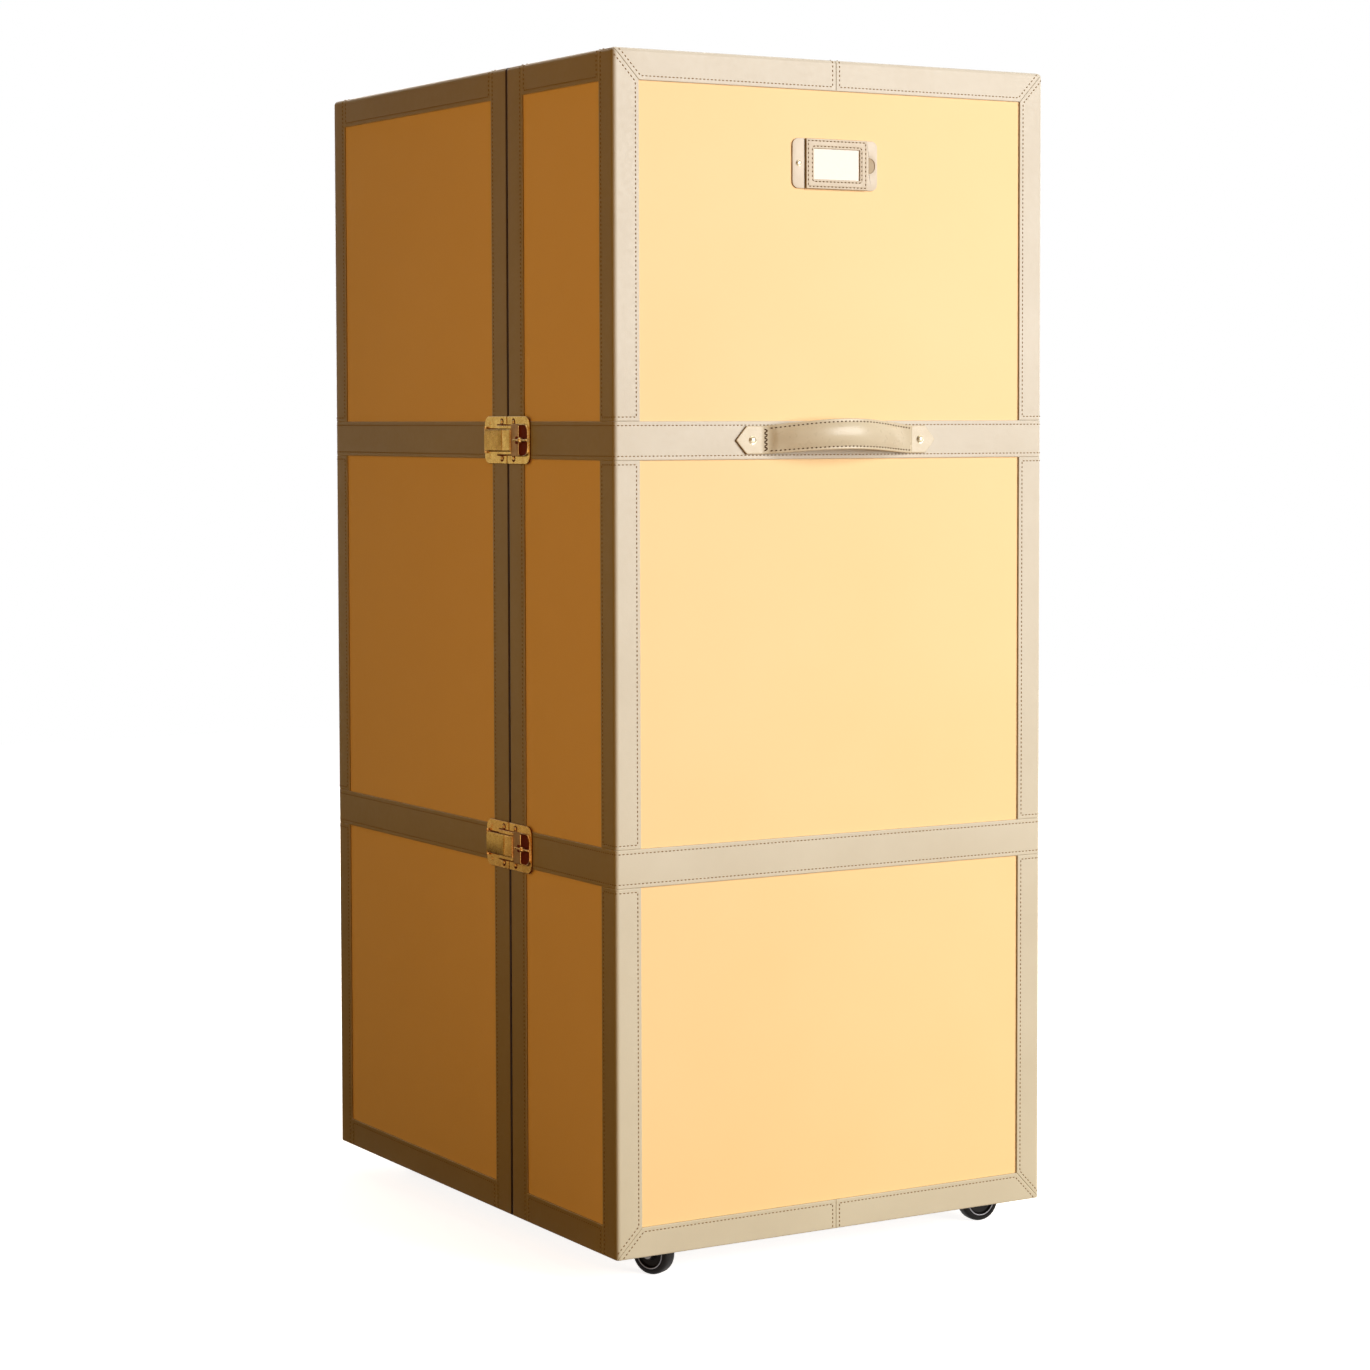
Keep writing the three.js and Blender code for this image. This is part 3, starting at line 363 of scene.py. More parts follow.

# %% [markdown]
# ## Thread
#
# Waxed linen thread sinks into the line that its tension presses. It is darker than the leather,
# partly its own colour and partly painted shade for the stitch holes. The handle is sewn with a
# dark brown thread, and the card holder with one between the two.

# %% Thread materials
def linen_thread(name, light, dark):
    """Two tones mixed by noise as fine as the fibres' fuzz."""
    material, tree, position = blank_material(name)
    surface(tree, two_tones(tree, noise(tree, position, 700.0), dark, light), 0.62, specular=0.15)
    return material


# Thread darker than the leather: partly its own colour, partly painted shade for the stitch holes.
thread = linen_thread("waxed_linen_thread", "#9c8058", "#846a48")
brown_thread = linen_thread("brown_waxed_thread", "#5e452b", "#46301a")
holder_thread = linen_thread("brown_linen_thread", "#806642", "#6a5234")
print("made", thread.name, brown_thread.name, holder_thread.name)

# %% [markdown]
# ## Metal
#
# The latches and studs are polished brass under clear lacquer. It is bright where it's handled,
# with a slightly browner tone in patches and fine rubbing marks. A dark red-brown is painted inside
# the dish of each latch, as painted reflection and shade, and as painted shade and shadow round
# the rivets, along the plates' edges, beside the hasp and the arms, and round the end of the bar.
# The lower latch is browner than the upper one, as the brass is a little darker towards the
# floor.

# %% Metal, rubber and enamel
def metal(name, light, dark, roughness, low="#ffffff"):
    """Polished metal: two tones mixed by slow noise, multiplied by low near the floor, and a
    roughness that fine noise varies."""
    material, tree, position = blank_material(name)
    patches = noise(tree, position, 120.0, 5.0, Roughness=0.6)
    tone = two_tones(tree, patches, dark, light, 0.35, 0.65)
    rubbed = noise(tree, position, 900.0, 3.0)
    shine = mapped(tree, rubbed, 0.3, 0.7, roughness - 0.03, roughness + 0.03)
    surface(tree, darkened_towards_floor(tree, position, tone, low), shine, (0.05, 0.0002, patches),
            Metallic=1.0)
    return material


def moulded(name, light, dark, roughness, grain):
    """Rubber, paint or painted shade: two tones, and a fine grain in millimetres."""
    material, tree, position = blank_material(name)
    patches = noise(tree, position, 30.0, 4.0)
    shine = mapped(tree, patches, 0.0, 1.0, roughness - 0.05, roughness + 0.08)
    surface(tree, two_tones(tree, patches, dark, light), shine,
            (0.2, 0.0001, noise(tree, position, 1000 / grain)), 0.15)
    return material


brass = metal("lacquered_polished_brass", "#ecce8f", "#d0aa68", 0.27, low="#f6d19c")
aged_brass = metal("aged_gold_brass", "#cfa964", "#b28a4a", 0.27)
dulled_brass = metal("dulled_red_brass", "#b58a62", "#9c7350", 0.35)
pale_brass = metal("worn_pale_brass", "#cdc3ae", "#aea38c", 0.25)
# Painted reflection and shade: a dark red-brown for the latches' dishes, rivet rings, plate edges
# and the dark lines beside the hasp and arms.
latch_shade = moulded("red_brown_tarnish", "#7a2a16", "#561c0e", 0.7, 0.8)
ring_steel = metal("dulled_ring_steel", "#87868a", "#727176", 0.38)
cap_steel = metal("zinc_plated_steel", "#7d7977", "#6a6664", 0.5)
nickel = metal("nickel_plated_steel", "#d2cfc9", "#bdb9b2", 0.2)
rubber = moulded("black_tyre_rubber", "#1e1c1c", "#131212", 0.5, 1.0)
enamel = moulded("black_stove_enamel", "#211f1f", "#171616", 0.35, 1.6)
print("made", brass.name, latch_shade.name, pale_brass.name, rubber.name, enamel.name)

# %% [markdown]
# ## Wood, lining and card
#
# Birch ply is pale, with close rings and the grain upright. Steamed beech is pinkish and oiled,
# and its boards run across the trunk. The lining is a brushed cotton drill: diagonal ribs and a
# soft nap, which is the sheen. The card is laid paper: off-white, matt, with faint ribs 1 mm
# apart.

# %% Wood, lining and card
RIB_SPACING = 0.0012


def wood(name, light, dark, long_axis, ring_width, gloss):
    """Sawn wood: noise that is stretched twelve times along the grain gives the year rings, and
    finer noise gives the pores. ring_width is the width of a ring in millimetres."""
    material, tree, position = blank_material(name)
    stretch = [1.0, 1.0, 1.0]
    stretch[long_axis] = 1 / 12
    grain = add(tree, "VectorMath", {0: position, 1: stretch}, operation="MULTIPLY").outputs[0]
    rings = noise(tree, grain, 1000 / ring_width / 2, 3.0, Distortion=0.6)
    pores = noise(tree, grain, 1400.0)
    total = worked(tree, "MULTIPLY_ADD", pores, 0.35, rings)
    tone = two_tones(tree, total, dark, light, 0.48, 0.86)
    surface(tree, tone, gloss, (0.15, 0.0002, pores), 0.35)
    return material


plywood = wood("birch_plywood", "#dcc196", "#c6a675", 2, 9.0, 0.6)
beech = wood("oiled_steamed_beech", "#cf9f6c", "#b4804f", 0, 5.0, 0.42)

lining, tree, position = blank_material("brushed_cotton_drill")
x, y, z = add(tree, "SeparateXYZ", {0: position}).outputs
level = worked(tree, "ADD", worked(tree, "ADD", x, y), z)
ribs = worked(tree, "SINE", worked(tree, "MULTIPLY", level, 2 * math.pi / RIB_SPACING))
tone = two_tones(tree, noise(tree, position, 90.0, 4.0), "#b99b74", "#c9ad86")
surface(tree, tone, 0.9, (0.3, 0.0001, ribs), 0.15,
        **{"Sheen Weight": 0.15, "Sheen Roughness": 0.4})

card_stock, tree, position = blank_material("laid_card")
ribs = add(tree, "TexWave", {"Vector": position, "Scale": 1000 / 6.28, "Distortion": 0.3},
           wave_type="BANDS", bands_direction="Z")
tone = two_tones(tree, noise(tree, position, 260.0, 4.0), "#f5f1ea", "#fbf8f2")
surface(tree, tone, 0.85, (0.15, 0.0001, ribs.outputs["Fac"]), 0.2)
print("made", plywood.name, beech.name, lining.name, card_stock.name)

# %% [markdown]
# ## The body in numbers
#
# Everything below is worked out in millimetres. For a half of the trunk it is easier to measure
# from its own outer face: x from the middle, t inwards from the face to the seam, and z up from
# the floor. `record_place` turns that into the frame's coordinates. These numbers repeat the
# CAD's.

# %% Sizes of the body
MM = 0.001
MIDDLE_X = 1.15
BODY_HALF = 293.0
FOOT, TOP = 33.0, 1383.0
EDGE_RADIUS = 5.0
TRIM = 2.2
STILE, TOP_RAIL, BOTTOM_RAIL = 33.0, 35.0, 34.0
BANDS = {"upper": 950.0, "lower": 473.0}
BAND_HALF = 21.75
HALVES = {
    "front": {"face": -350.2, "inward": 1, "depth": 250.7, "seam_strip": 36.5},
    "rear": {"face": 381.8, "inward": -1, "depth": 478.7, "seam_strip": 39.0},
}


def record_place(half, points):
    """(x, t, z) of a half becomes (x + middle, face + inward * t, z), still in millimetres."""
    x, t, z = np.moveaxis(np.asarray(points, float), -1, 0)
    return np.stack([x + MIDDLE_X, half["face"] + half["inward"] * t, z], axis=-1)


def round_edges(half, sharp, rise):
    """Moves points of a sharp-edged box onto the same box with rounded edges. The core is the box
    less the radius. A point goes to core + (radius + rise) * direction from there to the point."""
    low = np.array([-BODY_HALF + EDGE_RADIUS, EDGE_RADIUS, -np.inf])
    high = np.array([BODY_HALF - EDGE_RADIUS, np.inf, TOP - EDGE_RADIUS])
    core = np.clip(sharp, low, high)
    return record_place(half, core + (EDGE_RADIUS + rise[..., None]) * unit(sharp - core))


print("body", 2 * BODY_HALF, "wide, from", FOOT, "to", TOP)

# %% [markdown]
# ## From arrays to a piece
#
# A shape is a grid of points, and its faces join neighbours in the grid. One helper gives the faces
# as an array, another makes the mesh, merges what coincides, turns the faces outwards and says
# which CAD body carries the piece.

# %% Grid faces and pieces
def grid_faces(rows, columns, wrap_rows=False, wrap_columns=False):
    """Quads of a rows x columns grid of points numbered row by row: each joins (i, j), (i, j+1),
    (i+1, j+1) and (i+1, j). A wrapped direction also joins its last line to its first."""
    i = np.arange(rows if wrap_rows else rows - 1)[:, None]
    j = np.arange(columns if wrap_columns else columns - 1)[None, :]
    below, beside = (i + 1) % rows, (j + 1) % columns
    corners = [i * columns + j, i * columns + beside, below * columns + beside, below * columns + j]
    return np.stack(np.broadcast_arrays(*corners), axis=-1).reshape(-1, 4)


def join_shapes(shapes):
    """Several (points, faces, marks) as one, with the later faces' numbers moved up. A face's mark
    is 0 for the piece's own material, 1 or 2 for the first or second edge material."""
    points, faces, marks, start = [], [], [], 0
    for shape_points, shape_faces, *marked in shapes:
        points.append(np.asarray(shape_points, float).reshape(-1, 3))
        faces += [np.asarray(f) + start for f in shape_faces]
        marks.append(marked[0] if marked else np.zeros(len(shape_faces)))
        start += len(points[-1])
    return np.concatenate(points), faces, np.concatenate(marks)


def make_piece(name, shapes, body, material, stands_for=(), crease=40, edges=()):
    """Makes one piece from closed shapes in millimetres. Faces point outwards, edges sharper than
    crease degrees stay sharp, and marked faces take the edge materials."""
    points, faces, marks = join_shapes(shapes)
    mesh = bpy.data.meshes.new(name)
    mesh.from_pydata((points * MM).tolist(), [], [f.tolist() for f in faces])
    mesh.polygons.foreach_set("material_index", np.minimum(marks, len(edges)).astype(np.int32))
    work = bmesh.new()
    work.from_mesh(mesh)
    bmesh.ops.remove_doubles(work, verts=work.verts, dist=1e-6)
    bmesh.ops.recalc_face_normals(work, faces=work.faces)
    work.to_mesh(mesh)
    work.free()
    mesh.shade_smooth()
    mesh.set_sharp_from_angle(angle=math.radians(crease))
    for finish in (material, *edges):
        mesh.materials.append(finish)
    made = bpy.data.objects.new(name, mesh)
    bpy.context.scene.collection.objects.link(made)
    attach(made, body)
    if stands_for:
        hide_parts(*stands_for)
    print(name, "points:", len(mesh.vertices), "faces:", len(mesh.polygons))
    return made


# %% [markdown]
# ## Leather strips
#
# A strip is a sheet that folds over an edge of the body. Across the strip, its path runs along the
# sharp corners of the box; along the strip it is straight, and each end is cut square or mitred.
# Near a cut edge the leather is rounded off, and 4.7 mm inside it the stitch line is pressed in. So
# the height of the sheet is a function of the distance to its cut edges.

# %% One leather strip
CUT_RADIUS = 0.9
PLAIN_RADIUS = 1.4
ROW_INSET = 4.7
GROOVE_DEPTH = 0.07
GROOVE_WIDTH = 0.5
NEAR_EDGE = np.array([0, 0.08, 0.25, 0.5, 0.9, 1.5, 2.2, 3.6, 4.2, 4.7, 5.2, 5.8])
NEAR_FOLD = np.arange(-6.0, 7.0)
SEAM_SHADE_WIDTH = 1.6
ACROSS_STEP, ALONG_STEP, CLOSEST = 14, 40, 0.06
BARE_INSET = 1.0
LINE_POINTS = 400


def everywhere(value):
    """The value as a function of the distance across a strip: itself, or a constant."""
    return value if callable(value) else lambda s: np.full(np.shape(s), value)


def slant(end, s):
    """How much longer a step along the strip is than its distance from a slanted end."""
    slope = (end(s + 0.01) - end(s - 0.01)) / 0.02
    return np.sqrt(1 + np.minimum(np.abs(slope), 2) ** 2)


class Strip:
    """A leather strip on one half. path holds the corner points that it crosses, axis is the
    direction that it runs in (0 for x, 1 for t, 2 for z), and low and high give its ends there as
    functions of the distance across. rows says which borders are stitched: the first and last line
    across, the low end and the high end; for an end it may be a function of the distance across."""

    def __init__(self, half, path, axis, low, high, rows=(True, True, True, True)):
        self.half, self.axis = half, axis
        self.path = np.array(path, float)
        steps = np.linalg.norm(np.diff(self.path, axis=0), axis=1)
        self.knots = np.concatenate([[0], np.cumsum(steps)])
        self.width = self.knots[-1]
        self.low, self.high = everywhere(low), everywhere(high)
        self.rows = [everywhere(row) for row in rows]

    def sharp(self, s, w):
        """The point of the sharp-edged body at s across and w along."""
        point = np.stack([np.interp(s, self.knots, self.path[:, k]) for k in range(3)], axis=-1)
        point[..., self.axis] = w
        return point

    def rise(self, s, w):
        """Height below the body's outside: rounded at every border, grooved along stitched ones."""
        to_low = (w - self.low(s)) / slant(self.low, s)
        to_high = (self.high(s) - w) / slant(self.high, s)
        reach = np.maximum(np.stack([s, self.width - s, to_low, to_high]), 0)
        stitched = np.stack([row(s) for row in self.rows])
        radius = np.where(stitched, CUT_RADIUS, PLAIN_RADIUS)
        inside = np.clip(radius - reach, 0, radius)
        fall = radius - np.sqrt(radius**2 - inside**2)
        groove = GROOVE_DEPTH * np.exp(-(((reach - ROW_INSET) / GROOVE_WIDTH) ** 2)) * stitched
        nearest = np.where(stitched, reach, np.inf).min(axis=0)
        groove = np.where(reach <= nearest + 0.6, groove, 0)
        return -np.max(fall, axis=0) - np.max(groove, axis=0)

    def shape(self):
        """The closed shell: outer sheet, inner sheet at full thickness, and walls between them."""
        folds = [k + NEAR_FOLD for k in self.knots[1:-1]]
        fill = np.linspace(0, self.width, max(3, int(self.width / ACROSS_STEP)))
        across = np.concatenate([NEAR_EDGE, self.width - NEAR_EDGE, fill, *folds])
        across = np.unique(np.round(np.clip(across, 0, self.width), 2))
        across = across[np.concatenate([[True], np.diff(across) > CLOSEST])]
        across[-1] = self.width
        s = across[:, None]
        low, high = self.low(s), self.high(s)
        from_low = low + NEAR_EDGE * slant(self.low, s)
        from_high = high - NEAR_EDGE[::-1] * slant(self.high, s)
        steps = max(2, int((high - low).max() / ALONG_STEP))
        share = np.linspace(0, 1, steps + 1)[1:-1]
        middle = from_low[:, -1:] + (from_high[:, :1] - from_low[:, -1:]) * share
        w = np.concatenate([from_low, middle, from_high], axis=1)
        s = np.broadcast_to(s, w.shape)
        sharp = self.sharp(s, w)
        outer = round_edges(self.half, sharp, self.rise(s, w))
        inner = round_edges(self.half, sharp, np.full(s.shape, -TRIM))
        rows, columns = s.shape
        points, faces = slab(outer, inner, rows, columns)
        walls = (np.arange(len(faces)) >= 2 * (rows - 1) * (columns - 1)).astype(int)
        inwards = self.half["inward"] * (points[:, 1] - self.half["face"])
        # Faces close to the seam take the second edge material, a dark brown: painted shade for the
        # narrow gap.
        in_seam_shade = inwards[faces].min(axis=1) > self.half["depth"] - SEAM_SHADE_WIDTH
        return points, faces, np.where(in_seam_shade, 2, walls)

    def stitch_lines(self):
        """The stitched lines as (s, w) arrays of closely spaced points."""
        def row_line(end, row, sign):
            return lambda s: end(s) + sign * np.where(row(s), ROW_INSET * slant(end, s), BARE_INSET)

        ends = [row_line(self.low, self.rows[2], 1), row_line(self.high, self.rows[3], -1)]
        first, last = (ROW_INSET if row(0.0) else BARE_INSET for row in self.rows[:2])
        sides = first, self.width - last
        lines = []
        for s, row in zip(sides, self.rows[:2]):
            if row(0.0):
                w = np.linspace(*[end(np.array(s)) for end in ends], LINE_POINTS)
                lines.append((np.full(w.shape, s), w))
        for end, row in zip(ends, self.rows[2:]):
            s = np.linspace(*sides, LINE_POINTS)
            kept = s[row(s).astype(bool)]
            if len(kept) > 10:
                lines.append((kept, end(kept)))
        return lines


def slab(outer, inner, rows, columns):
    """A closed shell from two grids of the same size: the outer one, the inner one turned over, and
    four walls along the borders."""
    count = rows * columns
    top = grid_faces(rows, columns)
    bottom = top[:, ::-1] + count
    number = np.arange(count).reshape(rows, columns)
    ring = np.concatenate([number[0], number[1:, -1], number[-1, -2::-1], number[-2:0:-1, 0]])
    following = np.roll(ring, -1)
    walls = np.stack([following, ring, ring + count, following + count], axis=-1)
    points = np.concatenate([outer.reshape(-1, 3), inner.reshape(-1, 3)])
    return points, np.concatenate([top, bottom, walls])


# %% [markdown]
# ## Which strips there are
#
# On the face of each half the strips meet in mitres, and each rail is pieced in the middle. On the
# sides, top and back the rails are cut square between the upright strips. Bands go round at two
# heights, so every upright strip is cut in three.

# %% Strips of one half
def upright_spans():
    """The three spans of height between the foot, the bands and the top."""
    low, high = BANDS["lower"], BANDS["upper"]
    return [(FOOT, low - BAND_HALF), (low + BAND_HALF, high - BAND_HALF), (high + BAND_HALF, TOP)]


def half_strips(half):
    """Every leather strip of a half, but for its bands."""
    depth, seam = half["depth"], half["depth"] - half["seam_strip"]
    strips = []
    on_face = lambda s: s < STILE
    for side in (-1, 1):
        edge = side * BODY_HALF
        for k, (foot, top) in enumerate(upright_spans()):
            mitred_foot = lambda s: FOOT + np.maximum(0, STILE - s) * BOTTOM_RAIL / STILE
            mitred_top = lambda s: TOP - np.maximum(0, STILE - s) * TOP_RAIL / STILE
            rows = (True, True, on_face if k == 0 else True, on_face if k == 2 else True)
            strips.append(Strip(
                half, [(side * (BODY_HALF - STILE), 0, 0), (edge, 0, 0), (edge, STILE, 0)], 2,
                mitred_foot if k == 0 else foot, mitred_top if k == 2 else top, rows))
            strips.append(Strip(half, [(edge, seam, 0), (edge, depth, 0)], 2, foot, top,
                                (True, False, k > 0, k < 2)))
        strips.append(Strip(
            half, [(edge, 0, TOP - TOP_RAIL), (edge, 0, TOP), (edge - side * STILE, 0, TOP)], 1,
            STILE, seam))
        strips.append(Strip(half, [(edge, 0, FOOT), (edge, 0, FOOT + BOTTOM_RAIL)], 1, STILE, seam,
                            (False, True, True, True)))

        # The face rails are made for the right and mirrored to the left by the sign of x.
        under_top = lambda s: BODY_HALF - np.maximum(0, TOP_RAIL - s) * STILE / TOP_RAIL
        over_foot = lambda s: BODY_HALF - s * STILE / BOTTOM_RAIL
        for path, end, rows in (
            ([(0, 0, TOP - TOP_RAIL), (0, 0, TOP), (0, STILE, TOP)], under_top,
             (True, True, lambda s: s < TOP_RAIL)),
            ([(0, 0, FOOT), (0, 0, FOOT + BOTTOM_RAIL)], over_foot, (False, True, True)),
        ):
            if side > 0:
                strips.append(Strip(half, path, 0, 0, end, (rows[0], rows[1], True, rows[2])))
            else:
                far = lambda s, end=end: -end(s)
                strips.append(Strip(half, path, 0, far, 0, (rows[0], rows[1], rows[2], True)))
    strips.append(Strip(half, [(0, seam, TOP), (0, depth, TOP)], 0, -BODY_HALF, BODY_HALF,
                        (True, False, False, False)))
    return strips


def band_strip(half, height):
    """A band from the seam on the left round the face to the seam on the right."""
    depth = half["depth"]
    path = [(-BODY_HALF, depth, 0), (-BODY_HALF, 0, 0), (BODY_HALF, 0, 0), (BODY_HALF, depth, 0)]
    return Strip(half, path, 2, height - BAND_HALF, height + BAND_HALF, (False, False, True, True))


for name, half in HALVES.items():
    half["strips"] = half_strips(half)
    make_piece(name + "_edge_leather", [strip.shape() for strip in half["strips"]], name,
               trim_leather, [name + "_edge_trim"], edges=(burnished, seam_shade))
    half["bands"] = [band_strip(half, height) for height in BANDS.values()]
    for band, strip in zip(BANDS, half["bands"]):
        make_piece(f"{name}_{band}_band_leather", [strip.shape()], name,
                   trim_leather, [f"{name}_{band}_band"], edges=(burnished, seam_shade))

# %% [markdown]
# ## Stitches
#
# A saddle stitch shows as a row of short threads, 5 mm from hole to hole. One stitch is a small
# capsule with narrow ends. It is repeated along every stitched line, turned to the line's
# direction and laid on the leather, so thousands of them are still a small mesh.

# %% Rows of stitches
STITCH_PITCH, STITCH_LENGTH, STITCH_RADIUS = 5.0, 2.6, 0.62
STITCH_SIDES = 5

# How far before and after a stitch its direction is read, and how high its middle sits.
AIM, SITS = 0.8, 0.12


def capsule(length, radius):
    """Points of a capsule along the first axis: four rings at shares of its length, with radii that
    follow a flattened arch. The end rings are capped later."""
    along = np.array([-0.5, -0.34, 0.34, 0.5]) * length
    radii = np.array([0.35, 1.0, 1.0, 0.35]) * radius
    turn = np.arange(STITCH_SIDES) * 2 * math.pi / STITCH_SIDES
    rings = np.stack(np.broadcast_arrays(
        along[:, None], radii[:, None] * np.cos(turn), radii[:, None] * np.sin(turn)), axis=-1)
    return rings.reshape(-1, 3), grid_faces(4, STITCH_SIDES, wrap_columns=True)


def stitches_along(points, outward, pitch=STITCH_PITCH, length=STITCH_LENGTH, radius=STITCH_RADIUS):
    """Repeats the capsule along a line of points. outward is the direction out of the leather at
    each point. Each copy takes the line's direction there, so its axes are that direction, the
    outward one, and the one at right angles to both."""
    steps = np.linalg.norm(np.diff(points, axis=0), axis=1)
    run = np.concatenate([[0], np.cumsum(steps)])
    count = max(1, int(round(run[-1] / pitch)))
    at = (np.arange(count) + 0.5) * run[-1] / count
    sample = lambda values, where: np.stack(
        [np.interp(where, run, values[:, k]) for k in range(3)], axis=-1)
    centre = sample(points, at)
    ahead = unit(sample(points, np.minimum(at + AIM, run[-1]))
                 - sample(points, np.maximum(at - AIM, 0)))
    up = sample(outward, at)
    up = unit(up - (up * ahead).sum(axis=1, keepdims=True) * ahead)
    aside = np.cross(ahead, up)
    base, faces = capsule(length, radius)
    copies = (centre[:, None] + base[:, :1] * ahead[:, None] + base[:, 1:2] * up[:, None]
              + base[:, 2:] * aside[:, None])
    starts = np.arange(count)[:, None] * len(base)
    quads = (faces + starts[:, :, None]).reshape(-1, 4)
    ring = np.arange(STITCH_SIDES)
    return copies.reshape(-1, 3), [*quads, *(ring[::-1] + starts),
                                   *(ring + len(base) - STITCH_SIDES + starts)]


def strip_stitches(strip):
    """The stitches of one strip, sunk a little into its grooves."""
    shapes = []
    for s, w in strip.stitch_lines():
        sharp = strip.sharp(s, w)
        rise = strip.rise(s, w) + SITS
        on_leather = round_edges(strip.half, sharp, rise)
        shapes.append(stitches_along(
            on_leather, round_edges(strip.half, sharp, rise + 1) - on_leather))
    return shapes


for name, half in HALVES.items():
    for place, strips in (("edge", half["strips"]), ("band", half["bands"])):
        rows = [shape for strip in strips for shape in strip_stitches(strip)]
        make_piece(f"{name}_{place}_stitches", rows, name, thread, crease=80)

# %% [markdown]
# ## Helpers for small parts
#
# A small part is drawn flat first: u to the right, v up and n out of the face that it sits on.
# `framed` then carries it to its place. Two surfaces make nearly all of the parts: a loft through
# rings with the same number of points, and a profile turned on a lathe, which is a loft of circles.

# %% Lofts, plates and turned parts
CORNER_POINTS = 7


def framed(origin, right, up):
    """A function that takes points (u, v, n) to origin + u right + v up + n (right x up)."""
    axes = np.array([right, up, np.cross(right, up)], float)
    return lambda points: np.asarray(origin, float) + np.asarray(points, float) @ axes


def put(place, *shapes):
    """The shapes with their points taken to their place."""
    return [(place(points), *rest) for points, *rest in shapes]


def loft(rings, closed=False):
    """A closed surface through rings of points. The first and last ring are capped, or joined to
    each other where closed is true, which gives a frame with a hole."""
    rings = np.asarray(rings, float)
    rows, columns = rings.shape[:2]
    faces = list(grid_faces(rows, columns, wrap_rows=closed, wrap_columns=True))
    if not closed:
        faces += [np.arange(columns)[::-1], np.arange(columns) + (rows - 1) * columns]
    return rings.reshape(-1, 3), faces


def rounded_rectangle(sides, radii, inset=0.0):
    """Outline of the rectangle (u0, u1, v0, v1), anticlockwise from its right top corner. A corner
    is the quarter circle centre + radius * (cos a, sin a), with one radius or four. inset moves the
    whole outline inwards."""
    u0, u1, v0, v1 = sides
    turn = np.linspace(0, math.pi / 2, CORNER_POINTS)
    points = []
    corners = ((u1, v1, 1, 1), (u0, v1, -1, 1), (u0, v0, -1, -1), (u1, v0, 1, -1))
    for k, (radius, (u, v, right, up)) in enumerate(zip(np.broadcast_to(radii, 4), corners)):
        radius = max(radius - inset, 0.05)
        centre = np.array([u - right * (inset + radius), v - up * (inset + radius)])
        angle = turn + k * math.pi / 2
        points.append(centre + radius * np.column_stack([np.cos(angle), np.sin(angle)]))
    return np.concatenate(points)


def layer(outline, height):
    """A flat outline as points at one height."""
    return np.column_stack([outline, np.full(len(outline), float(height))])


def rings_of(sides, radii, steps):
    """Rings of rounded rectangles, one for each step (inset, height)."""
    return [layer(rounded_rectangle(sides, radii, inset), n) for inset, n in steps]


def plate(sides, radii, steps):
    """A capped loft of such rings."""
    return loft(rings_of(sides, radii, steps))


def turned(profile, centre=(0, 0, 0), axis=2, sides=24, closed=False):
    """Turned about an axis (0 u, 1 v, 2 n) through centre. The profile is (radius, height) pairs: a
    ring is centre + radius * (cos a, sin a) in the other two axes, at that height on the axis."""
    profile = np.asarray(profile, float)
    turn = np.arange(sides) * 2 * math.pi / sides
    rings = np.empty((len(profile), sides, 3))
    rings[..., axis] = profile[:, 1:]
    rings[..., (axis + 1) % 3] = profile[:, :1] * np.cos(turn)
    rings[..., (axis + 2) % 3] = profile[:, :1] * np.sin(turn)
    return loft(rings + np.asarray(centre, float), closed)


def dome(radius, rise, foot):
    """Profile of a domed stud head: a short upright edge, then the arch rise * cos(a)."""
    turn = np.linspace(math.pi / 2, 0.04, 7)
    edge = 0.25 * rise
    return [(radius, foot), (radius, foot + edge)] + [
        (radius * math.sin(a), foot + edge + (rise - edge) * math.cos(a)) for a in turn[1:]]


print("a 2 mm plate has", len(plate((-10, 10, -10, 10), 3, [(0, 0), (0, 2)])[1]), "faces")

# %% [markdown]
# ## Carry handle
#
# The handle is a strap with pointed ends, held by a stud near each end. Its middle is padded and
# bows out, so that a hand goes behind it. The strap is one sheet along the bow's curve: the place
# along it and the place across give a point and its height over the strap's back.

# %% Strap
HANDLE_SPAN, HANDLE_HALF, HANDLE_POINT = 103.0, 136.0, 14.0
HANDLE_BOW, HANDLE_RISE = 27.0, 7.0
HANDLE_WIDTH_HALF, PAD_WIDER = 16.0, 1.5
STRAP_THICK, PAD_THICK, PAD_CROWN = 3.0, 1.8, 4.2
STRAP_EDGE = 0.9
PAD_START, PAD_END = (-95, -83), (98, 102)
CROWN_START, CROWN_END = (-97, -60), (60, 99)
HANDLE_ROW, ROW_DEPTH, ROW_ENDS = 3.3, 0.05, (-93, 99)
SEAM_U, SEAM_DEPTH = 102.6, 0.3
LINE_WIDTH = 0.5
on_band = framed((MIDDLE_X, -350.3, BANDS["upper"]), (1, 0, 0), (0, 0, 1))


def bow(u):
    """How far the strap bows out, from 0 to 1: cos(pi u / 2 span) to the power 1.3 inside the span.
    It leaves the band more softly than the cosine, and more steeply than its square."""
    wave = np.cos(math.pi / 2 * np.clip(u / HANDLE_SPAN, -1, 1))
    return np.maximum(wave, 0) ** 1.3


def on_handle(u, v, height):
    """A point at u along and v across, height above the back of the strap, along its normal."""
    lean = HANDLE_BOW * (bow(u + 0.5) - bow(u - 0.5))
    length = np.sqrt(1 + lean**2)
    return np.stack([u - height * lean / length, v + HANDLE_RISE * bow(u),
                     HANDLE_BOW * bow(u) + height / length], axis=-1)


def smooth(x, low, high):
    """0 below low, 1 above high, and 3 t^2 - 2 t^3 between them."""
    t = np.clip((x - low) / (high - low), 0, 1)
    return t * t * (3 - 2 * t)


